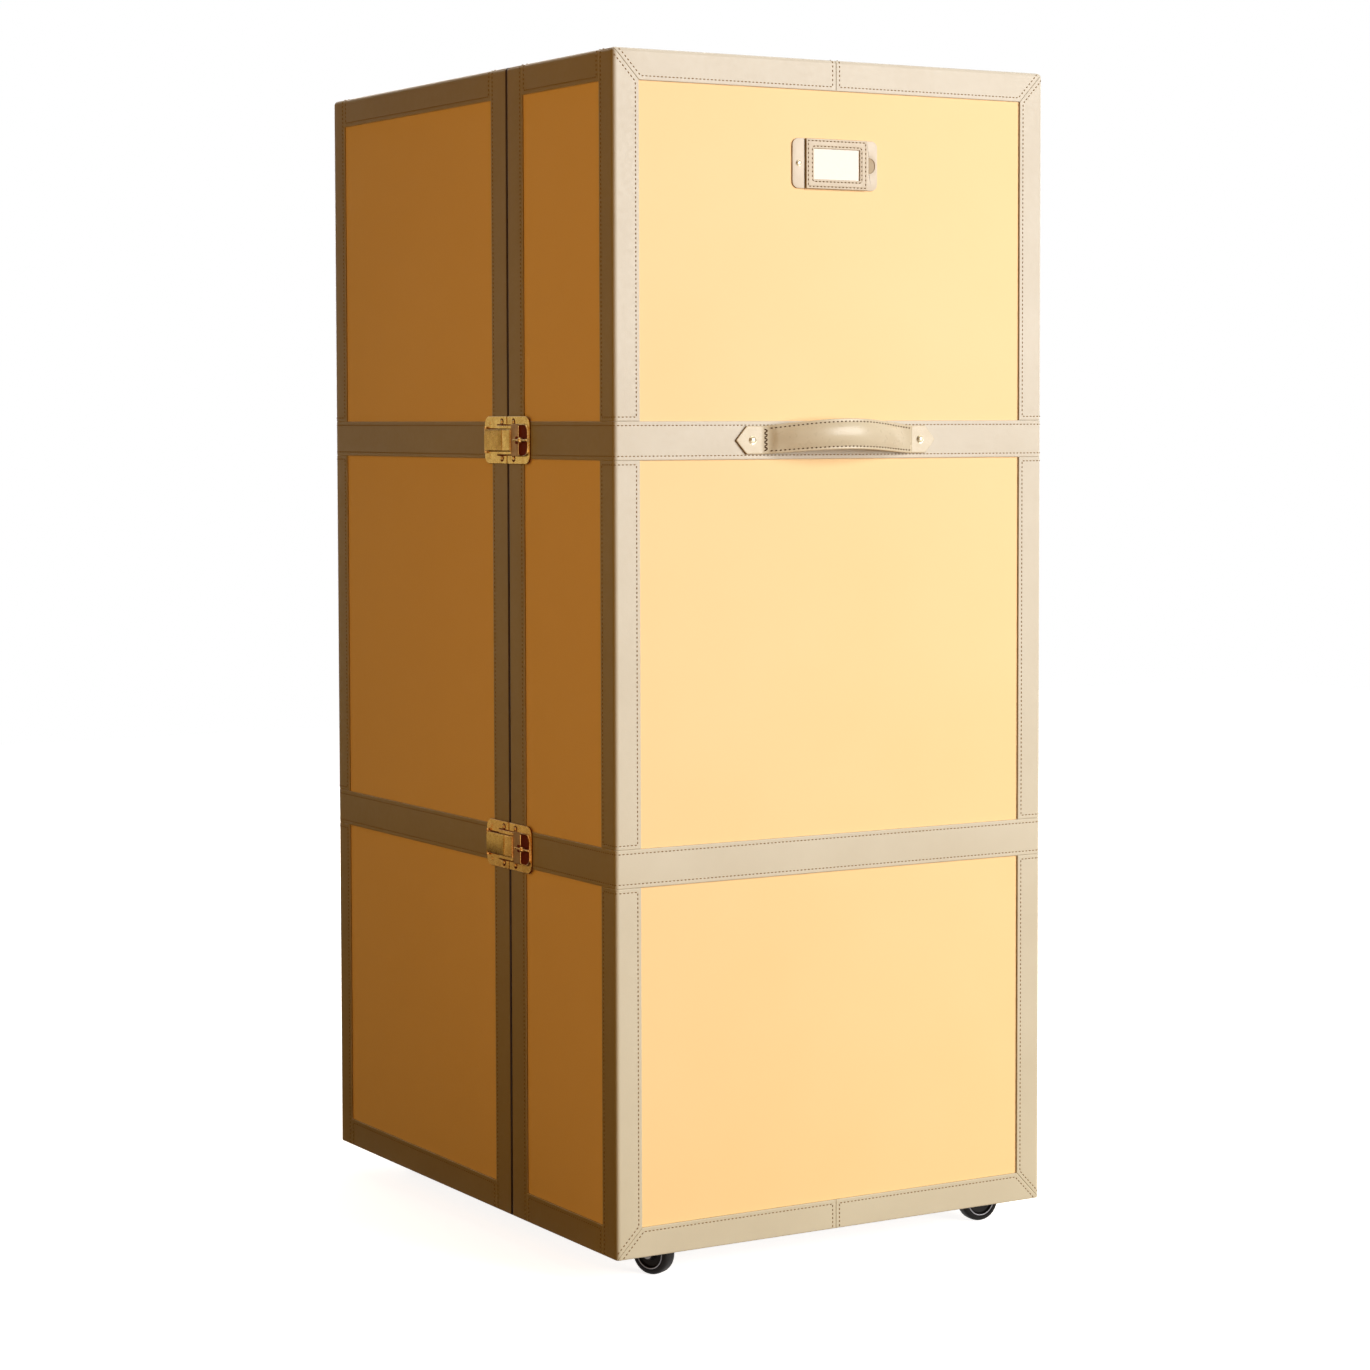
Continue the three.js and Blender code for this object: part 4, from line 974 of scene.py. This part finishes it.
def strap_half(u):
    """Half the width: full, a little more in the middle of the bow, and down to a blunt tip over
    the pointed ends."""
    ends = HANDLE_HALF - np.abs(u)
    return HANDLE_WIDTH_HALF * np.minimum(1, 0.03 + ends / HANDLE_POINT) + PAD_WIDER * bow(u)


def strap_height(u, v):
    """Height of the top. The pad swells from the zigzag on the left to the seam on the right and is
    crowned by 1 - (v / half)^2. Edges are rounded, and the seam and the rows are pressed in."""
    half = strap_half(u)
    reach = np.maximum(np.minimum(half - np.abs(v), (HANDLE_HALF - np.abs(u)) * 0.75), 0)
    inside = np.clip(1.0 - reach, 0, 1)
    pad = smooth(u, *PAD_START) * (1 - smooth(u, *PAD_END))
    crown = np.clip(1 - (v / (HANDLE_WIDTH_HALF + PAD_WIDER * bow(u) - HANDLE_ROW)) ** 2, 0, 1)
    swell = pad * smooth(u, *CROWN_START) * (1 - smooth(u, *CROWN_END))
    row = ROW_DEPTH * np.exp(-(((reach - HANDLE_ROW) / LINE_WIDTH) ** 2)) * pad
    seam = SEAM_DEPTH * np.exp(-(((u - SEAM_U) / LINE_WIDTH) ** 2))
    return (STRAP_THICK + PAD_THICK * pad + PAD_CROWN * crown * swell
            - (1 - np.sqrt(1 - inside**2)) * STRAP_EDGE - row - seam)


def strap():
    """The strap as a slab. The walls of its pointed ends are burnished."""
    near = np.array([0, 0.15, 0.45, 1.0, 1.6, 2.4, 3.3, 4.2])
    u = np.concatenate([near - HANDLE_HALF, HANDLE_HALF - near, np.arange(-130, 131, 2.0),
                        np.arange(-98, -87, 0.75), np.arange(97, 105, 0.4),
                        [HANDLE_POINT - HANDLE_HALF, HANDLE_HALF - HANDLE_POINT]])
    edge = 1 - np.array([0, 0.01, 0.03, 0.06, 0.1, 0.14, 0.18, 0.206, 0.24, 0.3, 0.45, 0.6, 0.8, 1])
    u, across = np.meshgrid(np.unique(u), np.unique(np.concatenate([-edge, edge])), indexing="ij")
    v = across * strap_half(u)
    points, faces = slab(on_handle(u, v, strap_height(u, v)), on_handle(u, v, np.zeros(u.shape)),
                         *u.shape)
    walls = np.arange(len(faces)) >= 2 * (u.shape[0] - 1) * (u.shape[1] - 1)
    ends = np.abs(points[np.array([f[0] for f in faces]), 0]) > HANDLE_HALF - HANDLE_POINT - 2
    return points, faces, walls & ends


strap_edge = leather("stained_leather_edge", "#8d7048", "#755a38", 0.45)
make_piece("handle_strap", put(on_band, strap()), "front", strap_leather,
           ["carry_handle"], edges=(strap_edge,))

# %% Handle stitches and studs
HANDLE_PITCH, HANDLE_STITCH = 5.2, 2.3
ZIGZAG_PITCH, ZIGZAG_STITCH = 5.6, 4.2
HANDLE_SITS, HANDLE_THREAD = 0.15, 0.75
ZIGZAG_LEGS, ZIGZAG_LEFT, ZIGZAG_DEEP = 10, -99.5, 5.0


def handle_rows():
    """Lines (u, v) of the stitches with their pitch and length: one along each side, and a zigzag
    of ten legs across the left end."""
    side = HANDLE_WIDTH_HALF - HANDLE_ROW
    along = np.linspace(*ROW_ENDS, 300)
    run = np.linspace(0, ZIGZAG_LEGS, ZIGZAG_LEGS * 12 + 1)
    corners = np.arange(ZIGZAG_LEGS + 1)
    across = -side + 2 * side * run / ZIGZAG_LEGS
    rows = [(along, sign * (side + PAD_WIDER * bow(along)), HANDLE_PITCH, HANDLE_STITCH)
            for sign in (-1, 1)]
    return [*rows, (ZIGZAG_LEFT + ZIGZAG_DEEP * np.interp(run, corners, corners % 2), across,
                    ZIGZAG_PITCH, ZIGZAG_STITCH)]


stitches = []
for u, v, pitch, length in handle_rows():
    height = strap_height(u, v) + HANDLE_SITS
    line = on_band(on_handle(u, v, height))
    out = on_band(on_handle(u, v, height + 1)) - line
    stitches.append(stitches_along(line, out, pitch, length, HANDLE_THREAD))
make_piece("handle_stitches", stitches, "front", brown_thread, crease=80)

HANDLE_STUD_OUT = 115.0
STUD_HEAD = [(4.9, 2.6), (4.9, 3.3), (4.6, 3.55)] + dome(3.9, 2.4, 3.4)
for side, name in ((-1, "left"), (1, "right")):
    stud = turned(STUD_HEAD, (side * HANDLE_STUD_OUT, 0, 0), sides=28)
    make_piece(f"handle_stud_{name}", put(on_band, stud), "front", pale_brass,
               [f"handle_rivet_{name}"])

# %% [markdown]
# ## Card holder
#
# The holder is a leather plate with a frame sewn on it. The card slides in from the right, behind
# the frame, and a thumb notch there helps to push it out. A groove parts the stud's tab from the
# frame. The tab and the notched end are lofts, the notch is a hole through its loft, and the frame
# is a closed loft from its outer edge to its window and back. Edges that stand up are burnished.

# %% Plate and frame of the card holder
HOLDER_HALF, HOLDER_UP, HOLDER_CORNER = 58.0, 28.5, 8.0
FRAME_LEFT, FRAME_RIGHT = -40.6, 43.0
FRAME = (FRAME_LEFT, FRAME_RIGHT, -HOLDER_UP, HOLDER_UP)
GROOVE = 1.1
WINDOW = (-30.0, 32.5, -17.6, 17.2)
NOTCH = (46.0, 54.5, -9.0, 9.0)
PLATE_TOP, FRAME_TOP = 1.8, 4.1
on_panel = framed((MIDDLE_X - 1.0, -348.0, TOP - 118.5), (1, 0, 0), (0, 0, 1))


def soft_edge(top):
    """Steps (inset, height) of an upright edge with a rounded rim."""
    return [(0.0, 0.0), (0.0, top - 0.6), (0.2, top - 0.2), (0.7, top)]


def painted_sides(shape, steep=0.5):
    """Marks the faces that stand up from the plate: their normal, the cross product of the two
    diagonals, has a small share along n."""
    points, faces = shape
    quads = np.array([f if len(f) == 4 else [0, 0, 0, 0] for f in faces])
    normal = np.cross(points[quads[:, 2]] - points[quads[:, 0]],
                      points[quads[:, 3]] - points[quads[:, 1]])
    length = np.linalg.norm(normal, axis=1)
    share = np.abs(normal[:, 2]) / np.where(length > 0, length, 1)
    return points, faces, (share < steep) & (length > 0)


def all_painted(shape):
    """Marks every face."""
    return (*shape, np.ones(len(shape[1]), bool))


def notched_end():
    """The right end: rings from the plate's outline down and inwards to the notch and back up."""
    sides = FRAME_RIGHT, HOLDER_HALF, -HOLDER_UP, HOLDER_UP
    corners = HOLDER_CORNER, 0.6, 0.6, HOLDER_CORNER
    inwards = [(-0.5, PLATE_TOP), (-0.15, PLATE_TOP - 0.2), (0, PLATE_TOP - 0.5), (0, 0.1),
               (-0.1, 0.0)]
    return loft(rings_of(sides, corners, soft_edge(PLATE_TOP))
                + rings_of(NOTCH, (8.2, 0.8, 0.8, 8.2), inwards), closed=True)


def holder_frame():
    """A closed loft: up the outer edge, over the top, down into the window and back underneath.
    Two stitch grooves run round it."""
    over = [(0, PLATE_TOP), (0, FRAME_TOP - 0.7), (0.2, FRAME_TOP - 0.25), (0.7, FRAME_TOP),
            (2.0, FRAME_TOP), (2.6, FRAME_TOP - 0.3), (3.2, FRAME_TOP), (4.0, FRAME_TOP + 0.1)]
    back = [(-inset, n) for inset, n in over[::-1]]
    return loft(rings_of(FRAME, 0.6, over) + rings_of(WINDOW, 0.8, back), closed=True)


tab = plate((-HOLDER_HALF, FRAME_LEFT - GROOVE, -HOLDER_UP, HOLDER_UP),
            (0.6, HOLDER_CORNER, HOLDER_CORNER, 0.6), soft_edge(PLATE_TOP))
bed = plate(FRAME, 0.4, soft_edge(PLATE_TOP))
# Painted shade: the groove's floor is the brown of a burnished edge, so that the groove shows dark.
groove_floor = plate(
    (FRAME_LEFT - GROOVE - 0.5, FRAME_LEFT + 0.5, -HOLDER_UP + 0.3, HOLDER_UP - 0.3), 0.3,
    [(0, 0.05), (0, 0.6)])
notch_floor = plate((45.0, 55.5, -10.0, 10.0), (8.5, 0.8, 0.8, 8.5), [(0, 0.05), (0, 1.0)])
holder_leather = leather("card_holder_leather", "#d3c7b6", "#cabda9", 0.45)
frame_leather = leather("card_frame_leather", "#c9bca8", "#bfb09a", 0.45)
make_piece("holder_plate", put(on_panel, painted_sides(tab), painted_sides(bed),
                               painted_sides(notched_end()), all_painted(groove_floor),
                               all_painted(notch_floor)),
           "front", holder_leather, ["label_backing"], edges=(burnished,))
make_piece("holder_frame", put(on_panel, painted_sides(holder_frame())), "front",
           frame_leather, ["label_frame"], edges=(burnished,))
label_stud = turned([(3.7, PLATE_TOP - 0.2), (3.7, PLATE_TOP + 0.3), (3.4, PLATE_TOP + 0.5)]
                    + dome(3.0, 1.9, PLATE_TOP + 0.4), (-49.8, 0, 0))
make_piece("holder_stud", put(on_panel, label_stud), "front", pale_brass, ["label_stud"])

# %% Stitches of the card holder
HOLDER_ROW, HOLDER_STITCH, HOLDER_THREAD = 2.6, 2.3, 0.68


def holder_row(sides, inset):
    """A closed row of stitches round a rectangle of the frame."""
    ring = rounded_rectangle(sides, 1.0, inset)
    row = on_panel(layer(np.vstack([ring, ring[:1]]), FRAME_TOP - 0.1))
    out = on_panel((0, 0, 1)) - on_panel((0, 0, 0))
    return stitches_along(row, np.broadcast_to(out, row.shape), STITCH_PITCH, HOLDER_STITCH,
                          HOLDER_THREAD)


make_piece("holder_stitches", [holder_row(FRAME, HOLDER_ROW), holder_row(WINDOW, -HOLDER_ROW)],
           "front", holder_thread, crease=80)

# %% Card
CARD = (-34.0, 40.5, -22.0, 22.0)
CARD_STEPS = [(0, PLATE_TOP + 0.1), (0, PLATE_TOP + 0.5), (0.05, PLATE_TOP + 0.55)]
make_piece("card_sheet", put(on_panel, plate(CARD, 1.0, CARD_STEPS)), "card", card_stock,
           ["label_card"])

# %% [markdown]
# ## Latches
#
# Each latch has two plates, one on each half. A hasp is hinged on the rear plate and reaches over
# the seam. On the front plate a raised ring holds a dish, and a turning bar with a ball in its
# middle lies across it. Turned across the hasp's end, the bar would hold it shut. All is drawn for
# a seam at u = 0, with u to the front, and placed twice.

# %% Latch plates
LATCH_PLACE = (-291.95, -98.2)
PLATE_HALF = 27.75
SHEET = [(0.0, 0.0), (0.0, 1.0), (0.12, 1.35), (0.45, 1.6)]
RIVET_V = 21.25
RIVET = [(4.2, 1.5), (4.2, 1.68), (2.7, 1.68), (2.6, 2.2), (2.2, 2.8), (1.3, 3.2), (0.05, 3.3)]
RIVET_SIDES = 24
SCREW_RADIUS, SCREW_SPREAD = 2.3, 1.37
ARM, ARM_SHADOW_V = (-23.0, 14.5, 12.9, 17.3), 14.0
RING = (13.3, 55.0, -19.0, 19.0)
DISH = (32.0, 53.5, -17.5, 17.5)


def middles(points, faces):
    """Where the middle of each face is along u."""
    return np.array([points[list(face), 0].mean() for face in faces])


def rivet(u, v):
    """A rivet whose dome stands on a flat ring. The ring and the dome's foot are dark red-brown:
    painted shade.
    """
    points, faces = turned(RIVET, (u, v, 0), sides=RIVET_SIDES)
    return points, faces, np.arange(len(faces)) // RIVET_SIDES < 3


def slotted_screw(u, v, angle):
    """A flat screw head in two halves, which leave a slot between them. Each is the part of a disc
    radius * (cos a, sin a), a up to 1.37 either way, so its chord is 0.46 mm from the middle."""
    halves = []
    for side in (0, math.pi):
        turn = np.linspace(-SCREW_SPREAD, SCREW_SPREAD, 12) + side + angle
        ring = np.array([u, v]) + np.column_stack([np.cos(turn), np.sin(turn)]) * SCREW_RADIUS
        centre = ring.mean(axis=0)
        halves.append(loft([layer(centre + (ring - centre) * share, n)
                            for share, n in ((1, 1.5), (1, 1.8), (0.9, 1.95))]))
    return halves


def ring_and_dish():
    """The raised D-shaped ring and its dish as one loft: up the outside, over the flat face and the
    rim, and down the wall to a rounded floor. The dish below its rim (the bands from 7 on, and the
    last cap) is painted dark red-brown, which is painted reflection and shade, and the flat face
    beside the hasp (band 3) is dulled."""
    outer = [(0, 1.5), (0, 2.6), (0.2, 3.0), (0.6, 3.2)]
    inner = [(-1.2, 3.2), (-0.7, 3.5), (-0.25, 3.35), (0, 2.9), (0.4, 2.2), (1.2, 1.95),
             (3.2, 1.8), (5.5, 1.75)]
    points, faces = loft(rings_of(RING, (11, 3, 3, 11), outer)
                         + rings_of(DISH, (9, 2.5, 2.5, 9), inner))
    number = np.arange(len(faces))
    band = number // (4 * CORNER_POINTS)
    # Painted reflection and shade: the dish below its rim takes the dark red-brown.
    marks = ((band >= 7) & (band < 11)) | (number == len(faces) - 1)
    dulled = (band == 3) & (middles(points, faces) < DISH[0] - 1)
    return points, faces, marks + 2 * dulled


def shadow_line(u0, u1, v, wide=1.2):
    """A dark line on the plate beside the hasp and the arms: painted shadow."""
    low, high = sorted((v, v + math.copysign(wide, v)))
    return all_painted(plate((u0, u1, low, high), 0.4, [(0, 1.5), (0, 1.64)]))


def arm(side):
    """One of the two bars that run from the ring back past the seam, above and below the hasp."""
    low, high = sorted(side * v for v in ARM[2:])
    return plate((*ARM[:2], low, high), 1.9, [(0, 1.5), (0, 2.7), (0.3, 3.15), (0.9, 3.4)])


print("a ring with its dish has", len(ring_and_dish()[1]), "faces")

# %% Hasp
HASP_LEFT, HASP_RIGHT = -50.0, 13.0
HASP_HALF = 12.5
HASP_TOP, HASP_UNDER = 5.0, 3.1
HASP_CROWN, HASP_DROP, HASP_EDGE = 0.5, 0.5, 0.8
FOLD_U, FOLD_WIDTH, FOLD_DEPTH = -6.0, 0.6, 0.4


def hasp_top(u, v):
    """Height of the hasp over the plate. From the barrel it is gently crowned to a fold at u = -6,
    which is a narrow groove, and from there it slopes down to its end."""
    past = u - FOLD_U
    crown = HASP_CROWN * (1 - (v / HASP_HALF) ** 2) * np.clip(-past / 10, 0, 1)
    slope = HASP_DROP * np.clip(past / (HASP_RIGHT - FOLD_U), 0, 1) ** 2
    fold = FOLD_DEPTH * np.exp(-((past / FOLD_WIDTH) ** 2))
    edge = np.minimum(HASP_HALF - np.abs(v), HASP_RIGHT - u)
    inside = np.clip(HASP_EDGE - edge, 0, HASP_EDGE)
    rounding = HASP_EDGE - np.sqrt(np.maximum(HASP_EDGE**2 - inside**2, 0))
    return HASP_TOP + crown - slope - fold - rounding


def hasp_leaf():
    """The leaf as a slab 2.4 mm thick at most, aged from the barrel to the fold."""
    near = np.array([0, 0.08, 0.25, 0.5, HASP_EDGE])
    u = np.unique(np.concatenate([np.linspace(HASP_LEFT, HASP_RIGHT, 34), HASP_RIGHT - near,
                                  np.linspace(FOLD_U - 1.5, FOLD_U + 1.5, 13)]))
    v = np.unique(np.concatenate([np.linspace(-HASP_HALF, HASP_HALF, 17), HASP_HALF - near,
                                  near - HASP_HALF]))
    u, v = np.meshgrid(u, v, indexing="ij")
    top = np.stack([u, v, hasp_top(u, v)], axis=-1)
    under = np.stack([u, v, np.full(u.shape, HASP_UNDER)], axis=-1)
    points, faces = slab(top, under, *u.shape)
    return points, faces, middles(points, faces) < FOLD_U - 0.5


leaf = hasp_leaf()
print("a hasp's leaf has", len(leaf[1]), "faces")

# %% Barrel and turning bar
# The barrel and its ears are slim and lie flush with the leaf, as the photograph shows no knuckle.
BARREL_N = 3.5
BARREL = [(0.05, -HASP_HALF), (1.5, -HASP_HALF), (1.8, -HASP_HALF + 0.3), (1.8, HASP_HALF - 0.3),
          (1.5, HASP_HALF), (0.05, HASP_HALF)]
EAR = [(0.05, 0), (1.5, 0), (1.8, 0.3), (1.8, 2.7), (1.5, 3.0), (0.05, 3.0)]

TURN_U, TURN_N = 39.3, 5.1
HALF_BAR = [(1.3, 3.6), (1.3, 13.5), (1.7, 15.8), (1.5, 16.9), (0.9, 17.7), (0.1, 18.0)]
BALL_RADIUS = 3.4
STEM = [(2.0, 1.8), (2.0, 4.5), (1.8, 5.0)]


def both_ways(profile):
    """The profile after its own mirror image about height 0."""
    return [(r, -h) for r, h in profile[::-1]] + profile


def turn_bar():
    """The stem, a bar with rounded ends along u, and the ball, radius * (sin a, -cos a)."""
    ball = [(BALL_RADIUS * math.sin(a), -BALL_RADIUS * math.cos(a))
            for a in np.linspace(0.02, math.pi - 0.02, 13)]
    centre = (TURN_U, 0, TURN_N)
    return [turned(both_ways(HALF_BAR), centre, axis=0, sides=16), turned(ball, centre, sides=24),
            turned(STEM, (TURN_U, 0, 0), sides=16)]


barrel = turned(BARREL, (HASP_LEFT, 0, BARREL_N), axis=1, sides=24)
print("a barrel has", len(barrel[1]), "faces")

# %% Two latches
def latch_plate(ends, radii, rivet_u, beside_hasp, beside_arm, wide):
    """What both plates have: the sheet, whose edges are dark as painted shade, two rivets, and
    painted shadow lines beside the hasp and the arms.
    """
    sheet = plate((*ends, -PLATE_HALF, PLATE_HALF), radii, SHEET)
    # Painted shade: the sheet's upright edges take the dark red-brown.
    parts = [painted_sides(sheet)]
    for side in (-1, 1):
        parts += [rivet(rivet_u, side * RIVET_V),
                  shadow_line(*beside_hasp, side * (HASP_HALF + 0.1)),
                  shadow_line(*beside_arm, side * ARM_SHADOW_V, wide)]
    return parts


# Painted shade: a dark patch on the ring's face round the end of the turning bar.
notch_shade = all_painted(plate((24, 32, -4.4, 4.4), 1.5, [(0, 3.0), (0, 3.3)]))
LATCH_PARTS = {
    "keeper_plate": (
        [*latch_plate((-56, -0.9), (0.6, 10, 10, 0.6), -12.4, (-47, -1.2), (-24.5, -1.2), 4.6),
         *[turned(EAR, (HASP_LEFT, v, BARREL_N), axis=1, sides=20) for v in (-15.8, 12.8)],
         *slotted_screw(-44.0, 19.7, 0.6), *slotted_screw(-44.0, -19.7, 0.9)],
        "rear", "latch_keeper", 14, (latch_shade,)),
    "front_plate": (
        [*latch_plate((0.9, 56), (10, 0.6, 0.6, 10), 16.8, (1.2, 13.2), (1.2, 13.2), 4.3),
         ring_and_dish(), arm(-1), arm(1), notch_shade],
        "front", "latch_plate", 14, (latch_shade, dulled_brass)),
    "hasp_leaf": ([leaf, barrel], "{}_hasp", "latch_hasp", 14, (aged_brass,)),
    "turn_bar": (turn_bar(), "{}_turn", "latch_turn", 40, ()),
}
for name, z in BANDS.items():
    on_side = framed((*LATCH_PLACE, z), (0, -1, 0), (0, 0, 1))
    for part, (shapes, body, node, crease, edges) in LATCH_PARTS.items():
        make_piece(f"{name}_{part}", put(on_side, *shapes), body.format(name), brass,
                   [f"{name}_{node}"], crease, edges)

# %% [markdown]
# ## Castors
#
# A castor has a plate screwed under the trunk, a ball race, a fork that swivels, and a wheel that
# trails 18 mm behind the swivel. The wheel is a rubber tyre on a hub, with a pale steel ring on
# each side. The wheel is turned on a lathe, and the fork is two lofted cheeks under a crown. Each
# part is drawn once, about the swivel or about the axle, and placed four times.

# %% Sections of the castor
TRAIL, AXLE_Z = 18.0, 24.79
AT_AXLE = (TRAIL, 0, AXLE_Z)

# Half of the wheel's section, from the middle of the tread to the hub. The tread is a little
# crowned, and the tyre bulges beside the ring.
HALF_WHEEL = [(25.0, 0), (24.95, 3), (24.7, 5.5), (24.0, 7.4), (22.9, 8.5), (21.4, 8.9),
              (19.6, 8.9), (19.2, 8.2), (16.4, 8.2), (15.8, 7.2), (14.8, 6.0), (8.4, 5.6),
              (7.6, 7.6), (6.8, 8.9), (4.3, 8.9)]
WHEEL = [(r, -h) for r, h in HALF_WHEEL[:0:-1]] + HALF_WHEEL
SIDE_RING = [(18.2, 8.1), (18.1, 8.75), (17.8, 8.95), (17.2, 8.95), (16.9, 8.7), (16.8, 8.1)]
CAP = [(5.8, 12.0), (5.8, 12.8), (5.4, 13.2), (4.0, 13.4), (0.05, 13.5)]
PIN = both_ways([(3.9, 12.9), (0.1, 12.9)])
CROWN = [(0.6, 56.5), (0, 57.0), (0, 58.5), (0.5, 58.9)]
MOUNT = [(0, 69.7), (0, 67.6), (0.3, 67.2), (1.2, 67.2)]
RACE = [(15.8, 67.4), (15.8, 61.0), (15.0, 60.0), (13.4, 59.2), (0.1, 59.2)]
CHEEK_TOP, CHEEK_OUT, CHEEK_THICK = 58.0, 11.1, 2.4
CHEEK_WIDE, CHEEK_END = 13.0, 7.0


def on_both_sides(profile, *place, **settings):
    """The turned profile and its mirror image on the other side of the wheel."""
    return [turned([(r, side * h) for r, h in profile], *place, **settings) for side in (-1, 1)]


def fork_cheek(side):
    """A cheek from the crown down to the axle: rings of a rounded rectangle whose middle moves
    along the trail and whose width narrows from 26 to 14 mm, all at one distance from the wheel.
    Its end is a half circle about the axle."""
    rings = []
    for share in np.linspace(0, 1, 9):
        half = CHEEK_WIDE - (CHEEK_WIDE - CHEEK_END) * share
        ring = layer(rounded_rectangle((-half, half, -CHEEK_THICK / 2, CHEEK_THICK / 2), 0.8),
                     CHEEK_TOP - share * (CHEEK_TOP - AXLE_Z))
        rings.append(ring + (TRAIL * share**1.3, side * CHEEK_OUT, 0))
    end = rings[-1]
    for a in np.linspace(0.2, math.pi / 2 - 0.05, 6):
        tip = end.copy()
        tip[:, 0] = TRAIL + (end[:, 0] - TRAIL) * math.cos(a)
        tip[:, 2] = AXLE_Z - CHEEK_END * math.sin(a)
        rings.append(tip)
    return loft(rings)


wheel = turned(WHEEL, sides=48, closed=True)
wheel_rings = on_both_sides(SIDE_RING, sides=48, closed=True)
axle_caps = on_both_sides(CAP, AT_AXLE, axis=1, sides=28)
fork = [fork_cheek(-1), fork_cheek(1), plate((-15, 14, -12.3, 12.3), 6, CROWN),
        turned(PIN, AT_AXLE, axis=1, sides=20)]
mount = [plate((-28, 28, -28, 28), 4, MOUNT), turned(RACE, sides=32)]
print("a wheel has", len(wheel[1]), "faces and a fork", sum(len(faces) for _, faces in fork))

# %% Four castors
CASTOR_OUT, CASTOR_DEEP, CASTOR_MID_Y = 227.0, 305.0, 15.8
CASTORS = {"front_left": (-1, -1, -math.pi / 2.7), "front_right": (1, -1, -math.pi / 60),
           "rear_left": (-1, 1, -math.pi / 3), "rear_right": (1, 1, -math.pi / 4)}
for name, (side, deep, heading) in CASTORS.items():
    castor = "castor_" + name
    spot = (MIDDLE_X + side * CASTOR_OUT, CASTOR_MID_Y + deep * CASTOR_DEEP, 0)
    ahead = (math.cos(heading), math.sin(heading), 0)
    swivel = framed(spot, ahead, (-ahead[1], ahead[0], 0))
    axle = framed(swivel(AT_AXLE), ahead, (0, 0, 1))
    straight = framed(spot, (1, 0, 0), (0, 1, 0))
    make_piece(castor + "_wheel_rubber", put(axle, wheel), castor + "_wheel", rubber,
               [castor + "_wheel"])
    make_piece(castor + "_wheel_rings", put(axle, *wheel_rings), castor + "_wheel",
               ring_steel)
    make_piece(castor + "_axle_caps", put(swivel, *axle_caps), castor + "_swivel",
               cap_steel)
    make_piece(castor + "_fork_steel", put(swivel, *fork), castor + "_swivel",
               enamel, [castor + "_fork"])
    make_piece(castor + "_mount_steel", put(straight, *mount), "front" if deep < 0 else "rear",
               enamel, [castor + "_mount"])

# %% [markdown]
# ## The CAD pieces that stay
#
# Flat boards, canvas and turned metal are already right in the CAD, so these nodes keep their shape
# and only take a material.

# %% A finish for each slot
finishes = {
    "canvas": canvas, "leather": trim_leather, "strap_leather": strap_leather, "plywood": plywood,
    "lining": lining, "brass": brass, "steel": nickel, "rubber": rubber, "black_steel": enamel,
    "beech": beech, "card": card_stock,
}
slots = {part["node"]: part["material_slot"] for part in frame["record"]["subparts"]}
for name, node in nodes.items():
    node.data.materials.clear()
    node.data.materials.append(finishes[slots[name]])
print("finished", len(nodes), "CAD nodes")
